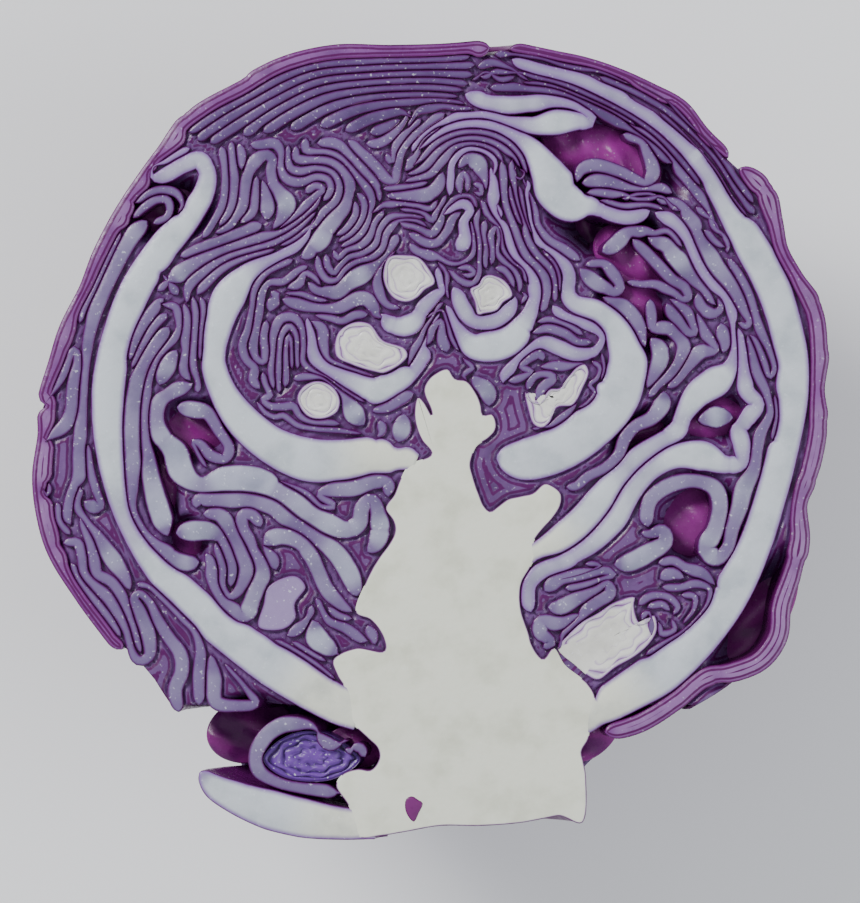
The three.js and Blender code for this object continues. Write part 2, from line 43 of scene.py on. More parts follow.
# ---------------------------------------------------------------------------------------------------
# The core: the short stem with its growing tip, firm off-white tissue with the stubs that the leaves
# grow from. The knife went through it lengthwise, so its face is flat and moist, with a purple skin
# round it. It is drawn as its section in the cut face, in millimetres, and swept round underneath.
HEIGHT = 77.0
HEART_DEPTH = 14.0
AXIS_ROUNDING = 40.0
STEP = 0.6
RIGHT_SIDE = [
    (-80, 32), (-70, 36), (-64, 41), (-57, 49), (-49, 63), (-42, 70.5), (-33, 73.5), (-20, 77),
    (-5, 79), (10, 79.6), (22, 79.4), (32, 76.5), (42, 71.5), (50, 68.5), (56, 62.5), (61, 57),
    (67, 51), (72, 42), (76, 35), (79, 20), (80, 10),
]
LEFT_SIDE = [
    (-80, 34), (-72, 46), (-64, 48), (-56, 52), (-46, 59), (-38, 67.5), (-28, 73.5), (-18, 77.6),
    (-8, 79.6), (4, 79.2), (16, 76.5), (28, 71.5), (38, 67.8), (48, 62.4), (56, 57), (62, 52.5),
    (68, 45.5), (72, 37), (76, 29), (78.5, 18), (80, 8),
]
BACK_DEPTH = [
    (-80, 19), (-72, 25), (-64, 34), (-56, 45), (-46, 57), (-34, 66), (-20, 71.8), (-4, 74),
    (12, 73.2), (26, 70), (40, 63.5), (52, 54.5), (62, 43.5), (70, 31.5), (76, 19), (80, 7),
]
rng = np.random.default_rng(11)


def rounded(stations):
    """A curve through stations, with its corners rounded."""
    along = np.linspace(-84, 84, 337)
    values = np.interp(along, [s[0] for s in stations], [s[1] for s in stations])
    padded = np.pad(values, 6, mode="edge")
    values = np.convolve(padded, np.ones(13) / 13, mode="valid")
    return lambda y: np.interp(y, along, values)


right_half_width = rounded(RIGHT_SIDE)
left_half_width = rounded(LEFT_SIDE)
back_depth = rounded(BACK_DEPTH)


def softened(distance):
    return np.hypot(distance, AXIS_ROUNDING) - AXIS_ROUNDING


def swept(points, degrees, lift=0.0):
    """Points of the cut face swept round to the back by an angle, in metres."""
    x, y = points[:, 0], points[:, 1]
    half_width = np.where(x > 0, right_half_width(y), left_half_width(y))
    outward = softened(np.abs(x)) / softened(half_width)
    deepest = back_depth(y)
    shallowest = np.minimum(HEART_DEPTH, deepest / 2)
    depth = shallowest + (deepest - shallowest) * outward
    turn = math.radians(degrees)
    z = HEIGHT + lift - depth * math.sin(turn)
    return np.stack([x * math.cos(turn), y, z], axis=1) / 1000


def smooth_route(route, step, closed=False):
    """Points (x, y, half thickness) at even steps of a smooth curve through a route."""
    stations = []
    half = 0.6
    for station in route:
        half = station[2] if len(station) > 2 else half
        stations.append((station[0], station[1], half))
    s = np.array(stations, dtype=float)
    if closed:
        ext = np.vstack([s[-1], s, s[0], s[1]])
    else:
        ext = np.vstack([2 * s[0] - s[1], s, 2 * s[-1] - s[-2]])
    dense = []
    for k in range(1, len(ext) - 2):
        p0, p1, p2, p3 = ext[k - 1], ext[k], ext[k + 1], ext[k + 2]
        t1 = math.sqrt(np.linalg.norm(p1[:2] - p0[:2]) + 1e-9)
        t2 = t1 + math.sqrt(np.linalg.norm(p2[:2] - p1[:2]) + 1e-9)
        t3 = t2 + math.sqrt(np.linalg.norm(p3[:2] - p2[:2]) + 1e-9)
        t = np.linspace(t1, t2, 24, endpoint=False)[:, None]
        a1 = (t1 - t) / t1 * p0 + t / t1 * p1
        a2 = (t2 - t) / (t2 - t1) * p1 + (t - t1) / (t2 - t1) * p2
        a3 = (t3 - t) / (t3 - t2) * p2 + (t - t2) / (t3 - t2) * p3
        b1 = (t2 - t) / t2 * a1 + t / t2 * a2
        b2 = (t3 - t) / (t3 - t1) * a2 + (t - t1) / (t3 - t1) * a3
        curve = (t2 - t) / (t2 - t1) * b1 + (t - t1) / (t2 - t1) * b2
        f = (t - t1) / (t2 - t1)
        curve[:, 2:] = p1[2] * (1 - f) + p2[2] * f
        dense.append(curve)
    dense = np.vstack(dense + [ext[-2][None]])
    run = np.concatenate([[0], np.cumsum(np.hypot(*np.diff(dense[:, :2], axis=0).T))])
    count = max(4, int(round(run[-1] / step)) + 1)
    at = np.linspace(0, run[-1], count)
    even = np.stack([np.interp(at, run, dense[:, c]) for c in range(3)], axis=1)
    return even[:-1] if closed else even


def cut_material(name, skin, halo, thin, rib, halo_reach, speckle=0.4, rough=(0.2, 0.42),
                 layers=0.0):
    """Fresh cut tissue: dark skin at the edges, a tinted rim, then flesh that is whiter where thick.
    With layers, a skin shows again each time that many millimetres further in."""
    mat = bpy.data.materials.new(name)
    mat.use_nodes = True
    nodes, links = mat.node_tree.nodes, mat.node_tree.links
    bsdf = nodes["Principled BSDF"]

    def attribute(label):
        node = nodes.new("ShaderNodeAttribute")
        node.attribute_name = label
        return node.outputs["Fac"]

    def ranged(value, low, high, to_low=0.0, to_high=1.0):
        node = nodes.new("ShaderNodeMapRange")
        node.interpolation_type = "SMOOTHSTEP"
        links.new(value, node.inputs["Value"])
        for key, number in zip(("From Min", "From Max", "To Min", "To Max"), (low, high, to_low, to_high)):
            node.inputs[key].default_value = number
        return node.outputs["Result"]

    def mixed(factor, a, b, kind="MIX"):
        node = nodes.new("ShaderNodeMix")
        node.data_type = "RGBA"
        node.blend_type = kind
        links.new(factor, node.inputs[0])
        for socket, value in ((node.inputs[6], a), (node.inputs[7], b)):
            if isinstance(value, tuple):
                socket.default_value = (*value, 1)
            else:
                links.new(value, socket)
        return node.outputs[2]

    place = nodes.new("ShaderNodeTexCoord").outputs["Object"]

    def noise(scale, detail=2.0):
        node = nodes.new("ShaderNodeTexNoise")
        node.inputs["Scale"].default_value = scale
        node.inputs["Detail"].default_value = detail
        links.new(place, node.inputs["Vector"])
        return node.outputs["Fac"]

    inside = attribute("inside")
    wander = nodes.new("ShaderNodeMath")
    wander.operation = "MULTIPLY_ADD"
    links.new(noise(420), wander.inputs[0])
    wander.inputs[1].default_value = 0.22
    links.new(inside, wander.inputs[2])
    flesh = mixed(ranged(attribute("rib"), 1.2, 2.5), thin, rib)
    flesh = mixed(ranged(attribute("rib"), 4.5, 10), flesh, (0.70, 0.71, 0.61))
    patch = tuple(0.80 * c for c in rib)
    blotches = mixed(ranged(noise(130, 4.0), 0.42, 0.75, 0.0, 0.45), flesh, patch, "MULTIPLY")
    rim = mixed(ranged(wander.outputs[0], 0.2, halo_reach), halo, blotches)
    spots = mixed(ranged(noise(1500, 1.0), 0.66, 0.78, 0.0, speckle), rim, (0.85, 0.88, 0.95))
    if layers:
        wave = wander.outputs[0]
        for operation, number in (("MULTIPLY", 2 * math.pi / layers), ("SINE", 0.0)):
            node = nodes.new("ShaderNodeMath")
            node.operation = operation
            links.new(wave, node.inputs[0])
            node.inputs[1].default_value = number
            wave = node.outputs[0]
        spots = mixed(ranged(wave, -0.75, -0.1), skin, spots)
    colour = mixed(ranged(wander.outputs[0], 0.14, 0.44), skin, spots)
    links.new(colour, bsdf.inputs["Base Color"])
    links.new(ranged(noise(600, 3.0), 0.3, 0.7, rough[0], rough[1]), bsdf.inputs["Roughness"])
    bump = nodes.new("ShaderNodeBump")
    bump.inputs["Strength"].default_value = 0.35
    bump.inputs["Distance"].default_value = 0.00025
    links.new(noise(750, 4.0), bump.inputs["Height"])
    links.new(bump.outputs["Normal"], bsdf.inputs["Normal"])
    bsdf.inputs["Specular IOR Level"].default_value = 0.35
    return mat


def finish_piece(name, points, faces, inside, rib, material, node=None):
    """A closed mesh with its colours' attributes, riding on the head and standing for its node."""
    mesh = bpy.data.meshes.new(name)
    mesh.from_pydata(points.tolist(), [], faces)
    for label, values in (("inside", inside), ("rib", rib)):
        layer = mesh.attributes.new(label, "FLOAT", "POINT")
        layer.data.foreach_set("value", np.asarray(values, dtype=np.float32))
    bm = bmesh.new()
    bm.from_mesh(mesh)
    bmesh.ops.triangulate(bm, faces=[f for f in bm.faces if len(f.verts) > 4])
    bmesh.ops.recalc_face_normals(bm, faces=bm.faces)
    bm.to_mesh(mesh)
    bm.free()
    mesh.polygons.foreach_set("use_smooth", [True] * len(mesh.polygons))
    piece = bpy.data.objects.new(name, mesh)
    bpy.context.scene.collection.objects.link(piece)
    mesh.materials.append(material)
    if node:
        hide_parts(node)
    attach(piece, "root")
    return piece


solids = []
ROLLS = (
    (0.86, 0.3, 0.1), (0.79, 0.02, 0.6), (0.7, 0.05, 1.3), (0.62, 0.34, 0.36), (0.54, 0.0, 1.0),
    (0.42, 0.04, 1.6), (0.33, 0.22, 0.6), (0.24, 0.0, 1.6), (0.1, 0.0, 1.8),
)


def solid(name, node, slot, material, outline, reach=(1.5, 6, 14, 26, 42), lift=0.0, bare=(), folds=0):
    """A piece that is solid right across its section, such as the core or a bud. It has no skin at
    the bare places (x, y, radius), where a leaf grows out of it."""
    ring = smooth_route([(*p, 1) for p in outline], STEP, closed=True)[:, :2]
    area = np.sum(ring[:, 0] * np.roll(ring[:, 1], -1) - np.roll(ring[:, 0], -1) * ring[:, 1])
    if area < 0:
        ring = ring[::-1]
    grown = np.zeros(len(ring), dtype=bool)
    for x, y, radius in bare:
        grown |= np.hypot(ring[:, 0] - x, ring[:, 1] - y) < radius
    solids.append(ring[~grown])
    ahead = np.roll(ring, -1, axis=0) - np.roll(ring, 1, axis=0)
    ahead /= np.linalg.norm(ahead, axis=1)[:, None]
    inward = np.stack([-ahead[:, 1], ahead[:, 0]], axis=1)
    rings, insides = [], []
    for degrees in reversed(reach):
        rings.append(swept(ring, degrees))
        insides.append(0.0)
    for offset, drop, grown_drop in ((0.0, 0.16, 0.1), (0.25, 0.02, 0.1), (0.6, 0.0, 0.06)):
        rings.append(swept(ring + inward * offset, 0, lift - np.where(grown, grown_drop, drop)))
        insides.append(offset)
    for f, drop, value in ROLLS if folds else ():
        spin = 0.05 * np.sin(np.arange(len(ring)) * 0.62 + 9 * f)
        inner = ring.mean(axis=0) + (ring - ring.mean(axis=0)) * (f + spin * (f > 0.3))[:, None]
        rings.append(swept(inner, 0, lift - drop * folds))
        insides.append(value)
    count = len(ring)
    points = np.vstack(rings)
    faces = [tuple(range(count))]
    for r in range(len(rings) - 1):
        for i in range(count):
            j = (i + 1) % count
            faces.append((r * count + i, r * count + j, (r + 1) * count + j, (r + 1) * count + i))
    faces.append(tuple((len(rings) - 1) * count + i for i in range(count)))
    inside = np.repeat(np.array(insides, dtype=float), count)
    inside[-count:] = 2.2 if slot in ("core", "bud") else 0.9
    inside[np.tile(grown, len(rings))] = 3.0
    return finish_piece(name, points, faces, inside, np.full(len(points), 3.0), material, node)


core_flesh = cut_material(
    "core_flesh", (0.10, 0.008, 0.10), (0.52, 0.40, 0.58), (0.66, 0.66, 0.58), (0.76, 0.77, 0.65),
    0.7, 0.12, (0.35, 0.55),
)
bud_flesh = cut_material(
    "bud_flesh", (0.16, 0.03, 0.20), (0.42, 0.30, 0.52), (0.62, 0.58, 0.58), (0.74, 0.73, 0.68), 1.0, 0.4,
)
violet_flesh = cut_material(
    "violet_flesh", (0.06, 0.01, 0.12), (0.10, 0.03, 0.24), (0.13, 0.05, 0.30), (0.16, 0.06, 0.34), 1.2, 0.6,
)
solid("core", "core", "core", core_flesh, [
    (3.5, 14.2), (0.2, 12.6), (-1.2, 10), (0.2, 6), (0.4, 4.8), (-1.2, 7.6), (-2.4, 8.6), (-3.1, 6),
    (-2.8, 3), (-1.7, 0), (0.3, -2.8), (-4.2, -5), (-6, -8), (-7.2, -11), (-8.9, -13.7), (-7.3, -16.3),
    (-7, -18.3), (-8.3, -21), (-10.5, -24), (-12.8, -28.3), (-14.8, -34.6), (-11.9, -36), (-9.4, -39.4),
    (-9.1, -42.2), (-14.8, -41.6), (-19.4, -44), (-18.6, -47), (-16.6, -50.4), (-15.8, -56.2),
    (-12.7, -59.4), (-10.4, -61.8), (-10.2, -63.8), (-11.8, -66), (-14.4, -65.8), (-17.4, -66.8),
    (-18.8, -69), (-16.2, -73.4), (-14.2, -79.4), (-10, -79.2), (-5, -78.4), (2, -77.2), (10, -77.2),
    (18, -76.6), (23, -75.7), (26, -75.2), (30.4, -76.6), (31.2, -67.4), (30.6, -64), (30.3, -62.3),
    (31.7, -59.7), (32, -57), (33, -51.4), (31.4, -48.6), (27, -45), (24.7, -41.6), (22.7, -43.8),
    (21.6, -43), (20.4, -41), (19.6, -38.3), (18.3, -34.4), (18, -31), (18.4, -28.4), (20, -25.6),
    (21.2, -23), (20.7, -20.6), (22.4, -18), (24.4, -15.8), (26.1, -13), (26.2, -10.8), (25, -9.5),
    (23, -8.7), (20.6, -10.6), (18.3, -11.2), (15.7, -11.8), (13.7, -13.2), (12.1, -14.3),
    (10.9, -13.3), (9.6, -10.3), (8.6, -7.3), (8.1, -5), (8.4, -3.4), (9.3, -1.3), (11.6, 0.3),
    (13, 1.8), (13.2, 3.6), (12.4, 5.2), (10.6, 5), (10.2, 7), (9.2, 9.4), (7.3, 11.8), (5, 12.3),
], bare=[
    (-16.6, -53.6, 4.2), (32.4, -55.4, 3.6), (20.4, -22.6, 2.6), (-13.8, -31.6, 2.4), (-15, -76.6, 3.2),
    (27.4, -45, 4.0), (-17, -68.6, 1.6), (-4.2, -5, 2.6), (9.5, -1.5, 1.4),
])
# ---------------------------------------------------------------------------------------------------
# The buds: tiny heads of their own in the corners between the core and the leaves. They are the
# palest and wettest part, tightly rolled, and the knife went through the middle of each.
solid("bud_centre", "bud_centre", "bud", bud_flesh, [
    (-8.2, 36.6), (-5, 37), (-2.4, 36.6), (-0.4, 34.6), (1, 31.4), (-1, 30), (-2.6, 28.4), (-4.4, 27.6),
    (-6.8, 28), (-8.6, 30), (-9.4, 33),
], lift=0.5, folds=1)
solid("bud_right", "bud_right", "bud", bud_flesh, [
    (11.6, 33.1), (14.4, 32.3), (16, 30.6), (16.5, 28.8), (14.6, 27.4), (13.4, 25.9), (10.6, 25.2),
    (9.6, 25), (8.9, 27.6), (8, 30.2), (9.8, 31.2), (10.4, 32.4),
], lift=0.3, folds=1)
solid("bud_left_upper", "bud_left_upper", "bud", bud_flesh, [
    (-18.4, 21.4), (-15, 23.6), (-12, 23.2), (-9.4, 20), (-5, 18.3), (-4.5, 16.6), (-9, 13.4),
    (-11, 13.6), (-15.6, 15), (-18.8, 16.8),
], lift=0.3, folds=1)
solid("bud_left_lower", "bud_left_lower", "bud", bud_flesh, [
    (-26.6, 8.4), (-25, 11), (-22, 11.8), (-19.2, 10.4), (-18, 8), (-18.6, 5.6), (-21.4, 4.2), (-24.6, 4.8),
], lift=0.2, folds=1)
solid("rib_bud_right", "rib_bud_right", "bud", bud_flesh, [
    (19, 9.6), (19.8, 5.4), (20.8, 3), (22.4, 2.4), (24, 3.6), (25.4, 6.4), (28.6, 7), (30.6, 10.4),
    (31.8, 13.6), (31, 15.2), (29.4, 14.6), (27.2, 12), (26, 10.4), (24, 10.2), (21.8, 7.6), (20.4, 8.2),
], folds=0.8)
solid("pocket_bud", "pocket_bud", "bud", bud_flesh, [
    (25.6, -41.6), (27.6, -39), (30.4, -36.4), (33.6, -34.6), (37, -32.4), (41, -31.4), (40.8, -33),
    (42, -36.6), (44.8, -35), (45.4, -38), (44, -40.6), (41.4, -43), (37, -45.6), (33.4, -48), (29, -45),
], bare=[(27.6, -45, 4.0)], folds=0.5)
solid("base_bud", "base_bud", "bud", violet_flesh, [
    (-14, -64), (-17, -60.8), (-22, -58.4), (-27, -58.6), (-31.4, -61), (-33.4, -64), (-30, -67.2),
    (-24, -68.4), (-18.6, -67.6),
], lift=-1.6, folds=5)
fold_flesh = cut_material(
    "fold_flesh", (0.09, 0.006, 0.10), (0.22, 0.12, 0.32), (0.27, 0.2, 0.38), (0.33, 0.26, 0.44), 1.5, 0.4,
)
bruise = cut_material(
    "bruise", (0.10, 0.008, 0.09), (0.14, 0.01, 0.12), (0.16, 0.02, 0.14), (0.16, 0.02, 0.14), 1.0, 0.0,
)
solid("stub_spot", None, "core", bruise, [
    (-4.8, -71.8), (-3.6, -71.2), (-2.4, -71.9), (-1.4, -72.6), (-2.2, -74.6), (-3.2, -76.4), (-4.2, -75.6),
    (-5, -73.8),
], reach=(1.5,), lift=0.14)
solid("kidney_fold", None, "leaf", fold_flesh, [
    (-32.4, -29.4), (-29, -27.4), (-26.6, -27.2), (-24.8, -29.4), (-27, -32.8), (-26.8, -35.4),
    (-28.6, -37.6), (-31.6, -38.2), (-34.4, -37.4), (-33.4, -33),
])

# ---------------------------------------------------------------------------------------------------
# The thick-ribbed leaves: one up each side of the head. Their midribs are crisp, watery and nearly
# white, and run out of the core. They hold the thin leaves together like two hands.
leaves = []


def leaf(name, node, route, reach=(1.5, 5, 12, 24, 40)):
    """Notes a leaf's section, to be packed in with the others at the end."""
    points = smooth_route(route, STEP)
    leaves.append({"name": name, "node": node, "points": points, "reach": reach})


leaf("thick_leaf_left", "thick_leaf_left", [
    (-14, -54.6, 3.4), (-18, -53, 3.7), (-24, -49.6, 4), (-31, -45.4, 4), (-39, -39.8, 3.6),
    (-47, -33.2, 3.4), (-54.2, -25.6, 2.9), (-59.6, -17.4, 2.3), (-62.8, -9, 2.3), (-64.4, 2, 2.9),
    (-64.2, 12, 3.1), (-62, 22.4, 2.9), (-58.4, 31, 3), (-53, 39, 2.9), (-48.2, 44.8, 2.4),
    (-45.2, 49.6, 2), (-44.6, 53.6, 1.7), (-46.2, 55.9, 1.3), (-49.4, 55.2, 1.2), (-53, 53.2, 1.1),
    (-55.6, 52.8, 0.8), (-55.4, 54.6, 0.6), (-52.6, 56, 0.6), (-48, 58.4, 0.5),
])
leaf("thick_leaf_right", "thick_leaf_right", [
    (29, -56.6, 2.8), (33, -54.3, 3.2), (39, -50.8, 3.7), (46, -46.4, 4.2), (53, -39.6, 4.2),
    (59.6, -31.4, 3.7), (64.6, -22, 3.1), (68, -12, 2.9), (70.6, -2, 2.9), (72.3, 8, 3.1),
    (72.4, 16, 3.1), (70.8, 24, 3.1), (68, 32, 3.3), (64.4, 38.6, 3.2), (60.8, 45, 2.7),
    (57.4, 51.4, 2.6), (52.6, 57.6, 2.3), (47, 62.2, 1.8), (41, 65.9, 1.6), (34.6, 69.6, 1.3),
    (28, 72.2, 1.2), (21, 74.2, 1.2), (16.4, 76.2, 1.1),
])

# ---------------------------------------------------------------------------------------------------
# The outside leaves: waxy and wavy at the edge, lilac to magenta. They stand off the thick ribs in
# places, and go round to the back of the head.
leaf("outer_leaf_right", "outer_leaf_right", [
    (35, -58.4, 1.4), (42, -56.4), (49, -52), (55, -47.4), (61, -46.4, 1.8), (66.4, -44), (69.6, -39.4),
    (70.4, -33), (72.4, -27, 1.7), (74, -20, 1.3), (73.8, -12.5, 1), (76.2, -5.5, 1.7), (77.6, 2),
    (77.2, 10, 1), (77.8, 19, 1.6), (76.8, 26), (73, 32.4, 1), (70, 38), (68.8, 44), (66.8, 50, 1.6),
    (62, 54.4, 0.9),
])
leaf("outer_leaf_left", "outer_leaf_left", [
    (-61.5, -41.8, 1), (-69.5, -31), (-75, -22), (-77, -14, 1.3), (-77.6, -7), (-76.8, 1, 1),
    (-76.6, 8, 1.2), (-74.6, 15), (-72.6, 22, 1), (-68.6, 30), (-65.6, 37, 1.3), (-62, 44),
    (-57.4, 51.6, 1), (-53, 57.6), (-47, 64.8, 1.6), (-38, 70), (-29, 74.9, 1.2), (-19, 77.2),
    (-8, 77.3, 1), (3, 77.6), (12, 78.4),
])
leaf("outer_leaf_top", "outer_leaf_top", [
    (16, 78.3, 0.8), (24, 76.4, 1), (31, 75, 0.9), (37.5, 72.8), (44, 69.7, 1.1), (50, 66.4),
    (54.4, 61), (59.6, 56.4, 0.8),
])

# ---------------------------------------------------------------------------------------------------
# The leaves of the left side: thin outside ones that lie along the rib, and long folded ones that
# run down from it to the core. The stump of the lowest leaf is cut off short beside the stem.
leaf("left_bud", None, [
    (-18, -43, 1.4), (-22.4, -40, 2.4), (-23.6, -36, 1.8),
])
leaf("left_leaf_26", None, [
    (-49.1, 27.4, 0.6), (-48.6, 24, 0.8), (-48.9, 19, 0.8), (-49.1, 14, 0.8), (-47.9, 11.8, 0.6),
])
leaf("left_leaf_27", None, [
    (-47.4, 28.8, 0.5), (-46.9, 25, 0.7), (-47.2, 20, 0.7), (-47.4, 15, 0.7), (-46.6, 11.4, 0.7),
    (-46.4, 9.4, 0.6),
])
leaf("left_leaf_28", None, [
    (-45.9, 28.6, 0.6), (-45.3, 26.6, 0.6), (-45.7, 22, 0.5), (-46, 16, 0.4),
])
leaf("left_leaf_10", "left_leaf_10", [
    (-53.6, 27.2, 0.5), (-50.8, 26.5, 0.7), (-50.2, 23, 0.6), (-51.2, 20.4, 0.7), (-54.4, 16.4, 0.6),
    (-56.2, 12, 0.7), (-57.1, 6, 0.7), (-57, 0, 0.7), (-56.4, -3.4, 0.9), (-55.7, -8, 1.2),
    (-54.6, -12.6, 1.5), (-53.2, -17, 1.5), (-52.4, -19.2, 0.8),
])
leaf("left_leaf_9", "left_leaf_9", [
    (-52.2, 22.6, 1), (-54.7, 19.4, 1.4), (-57.5, 15, 1.3), (-59.1, 9, 1.5), (-59.7, 3, 1.6),
    (-59.7, -3, 1.5), (-60, -9, 1), (-59.6, -14, 1), (-57, -19, 1.1), (-53.6, -22.4, 1.3),
    (-49.6, -24.6, 1.9), (-46.2, -24.4, 1.2),
])
leaf("left_leaf_18", "left_leaf_18", [
    (-44.8, -22.6, 0.8), (-43.7, -25.6, 1), (-43.1, -29, 1), (-40.8, -32.8, 1.3), (-37.4, -35.2, 1.4),
    (-35.2, -31, 1.6), (-33.8, -26, 1.4), (-35.6, -21.4, 1), (-37.7, -17.4, 0.8), (-37.4, -15, 0.9),
    (-35.4, -14.8, 0.9), (-33.8, -17.4, 0.7),
])
leaf("left_leaf_29", None, [
    (-52.6, 25.4, 0.6), (-55.5, 22, 0.7), (-58.1, 17.6, 0.7), (-59.7, 14.4, 0.6),
])
leaf("left_leaf_30", None, [
    (-53.2, 28.4, 0.8), (-56.1, 25.4, 0.9), (-58.7, 20.6, 0.9), (-60.1, 16, 0.6),
])
leaf("left_leaf_31", None, [
    (-53.4, 33, 0.7), (-51.8, 31, 1), (-50.4, 29, 0.8),
])
leaf("left_leaf_32", None, [
    (-50.6, 18, 0.8), (-52.7, 15, 1.5), (-54.2, 11, 1),
])
leaf("left_leaf_11", "left_leaf_11", [
    (-47.4, 11.4, 0.7), (-51, 9.9, 1), (-54, 8, 1), (-54.9, 4.4, 1), (-53.9, 1, 1.3), (-51, -2.4, 2.4),
    (-49.6, -6.4, 2.5), (-46, -9, 1.4), (-41, -7.8, 2.5), (-35, -8, 2.6), (-29.6, -10.4, 2.2),
    (-24.6, -14, 2), (-20, -17, 2.2), (-16.4, -17.9, 1.6), (-14.2, -16.6, 1.1), (-13.4, -13.6, 1.1),
    (-11.8, -12.2, 1), (-10.6, -14.4, 1), (-10, -18, 1.6), (-11, -21, 1), (-12.6, -22.4, 0.6),
])
leaf("left_leaf_12", None, [
    (-50.6, 6.6, 1), (-47, 6, 1.1), (-44.4, 5.6, 1), (-42, 2, 0.8), (-40, -1.6, 0.7), (-41, -4, 0.7),
    (-44, -3.2, 0.7), (-46.2, -0.8, 0.6), (-47.3, -0.4, 0.4), (-45.6, -4.2, 0.4), (-44.6, -5.6, 0.3),
])
leaf("left_leaf_13", None, [
    (-30, -8.2, 0.4), (-25, -10.6, 0.6), (-21.6, -13.4, 0.6), (-19.4, -13.2, 0.7), (-22, -11, 0.7),
    (-20, -9.8, 1.2), (-15.4, -9.3, 1.4), (-10.8, -7.9, 1.2), (-8.4, -8.6, 1), (-8.3, -11.4, 0.8),
])
leaf("left_leaf_15", "left_leaf_15", [
    (-46.8, -13.6, 0.8), (-46.4, -12, 1.1), (-42, -11.8, 1.2), (-36, -12, 1.3), (-31.6, -13.4, 1.6),
    (-27.6, -16.6, 1.4), (-23, -19.4, 1.4), (-19, -22.4, 1.9), (-16, -27, 2), (-14.6, -31.2, 1.4),
])
leaf("left_leaf_17", None, [
    (-45.4, -14.8, 0.7), (-42, -15, 1), (-40, -18, 1.2), (-37.9, -22.4, 1.5), (-36.5, -26, 1.5),
    (-38, -29.6, 1), (-40, -31.4, 0.7), (-41.5, -29, 0.7), (-41.4, -25.4, 0.8), (-42.8, -20.6, 0.6),
])
leaf("left_leaf_16", None, [
    (-50.8, -18.6, 1.4), (-47.4, -18.2, 1.5), (-43.6, -18.4, 1.2), (-41.2, -21, 1.2), (-39.7, -25, 1.1),
    (-39.9, -29.4, 0.7),
])
leaf("left_leaf_19", "left_leaf_19", [
    (-33.4, -21, 1), (-31, -19.4, 1.6), (-27, -19.6, 1.9), (-24, -22.4, 1.3), (-22.4, -26, 0.9),
    (-20.6, -30, 0.9), (-18, -33, 1), (-15.6, -34.4, 0.5),
])
leaf("left_leaf_33", None, [
    (-30.8, -26, 0.7), (-31.9, -23.4, 0.9), (-33.6, -20.8, 0.6),
])
leaf("left_leaf_34", None, [
    (-22.8, -31.6, 0.5), (-21.8, -34, 0.5), (-20.4, -36.4, 0.6), (-17, -37.6, 0.6), (-14, -39.6, 0.6),
    (-12.4, -40.2, 0.4),
])
leaf("left_leaf_35", None, [
    (-20.4, -33.4, 0.5), (-18, -35, 0.6), (-15.6, -35.7, 0.5),
])
leaf("left_leaf_36", None, [
    (-28.6, -39.2, 0.5), (-25.6, -37.6, 1), (-23.9, -35.4, 1.2), (-23.6, -33, 0.6),
])
leaf("left_leaf_37", None, [
    (-31, -40, 0.5), (-27.4, -41.8, 0.5), (-22.6, -45, 0.5), (-19, -47.8, 0.4),
])
leaf("left_leaf_38", None, [
    (-27.6, -40.4, 0.5), (-24, -42.4, 0.6), (-20.8, -44.2, 0.5),
])
leaf("left_leaf_39", None, [
    (-12.4, -37, 0.7), (-11.6, -39.4, 0.8), (-11, -41, 0.4),
])
leaf("left_leaf_1", "left_leaf_1", [
    (-77.4, 6.4, 0.5), (-75, 10.6, 0.6), (-72.8, 15, 0.6), (-71.2, 18, 0.6), (-70.5, 15.4, 0.7),
    (-71.3, 10, 0.8), (-71.6, 6, 0.8), (-73, 3, 0.8), (-75.4, 1.4, 0.7), (-77, -0.4, 0.6),
])
leaf("left_leaf_2", "left_leaf_2", [
    (-56.6, 43.8, 0.9), (-60, 40.4, 1.3), (-63.4, 34, 1.3), (-66, 28, 1.2), (-67.7, 22, 0.8),
    (-68.8, 15, 0.7), (-69.3, 8, 0.7), (-69.7, 2, 0.9), (-69.9, -3, 1), (-70.3, -8, 0.8),
    (-72, -12, 0.6), (-72.7, -15.6, 0.6), (-71.9, -17, 0.4),
])
leaf("left_leaf_40", None, [
    (-61.8, 41.6, 0.5), (-64.6, 36, 0.6), (-67.2, 30.4, 0.6), (-69.8, 25.4, 0.5), (-70.2, 23.4, 0.4),
])
leaf("left_leaf_3", None, [
    (-68.4, -1, 0.5), (-67.8, -6, 0.6), (-66.5, -10.4, 0.6), (-66, -13, 0.7), (-67.8, -13.2, 1.1),
    (-69.2, -12.2, 0.6),
])
leaf("left_leaf_41", None, [
    (-70, -9.4, 0.5), (-70.4, -13, 0.6), (-69, -16.6, 0.6), (-66.4, -20, 0.9), (-63.4, -24, 1.2),
    (-61, -28, 0.8), (-60, -30, 0.5),
])
leaf("left_leaf_42", None, [
    (-69.8, -15.6, 0.5), (-68, -19.4, 0.8), (-67.3, -23.4, 0.8), (-66.7, -27, 0.7), (-63.6, -28.4, 0.8),
    (-61.5, -31.6, 0.9), (-59.9, -36, 0.7), (-58.5, -40.6, 0.6), (-57.9, -42.6, 0.5),
])
leaf("left_leaf_4", "left_leaf_4", [
    (-73.4, -20.6, 0.5), (-70.6, -20.4, 0.6), (-69.6, -23, 0.6), (-69.3, -26.4, 0.7),
    (-66.7, -29.6, 0.9), (-64, -32.4, 1), (-61.1, -37.4, 0.9), (-59.7, -42, 0.7), (-58, -43.8, 0.7),
    (-56.5, -43, 0.8), (-56.5, -39, 1), (-58.1, -35, 1), (-59.4, -31.6, 0.6), (-58.2, -30.6, 0.5),
    (-56, -32.4, 0.5), (-54.4, -36, 0.7), (-52, -39.8, 0.7), (-49.9, -43, 0.8), (-49.7, -46.4, 0.8),
    (-51, -50, 0.8), (-50.2, -54.4, 0.6),
])
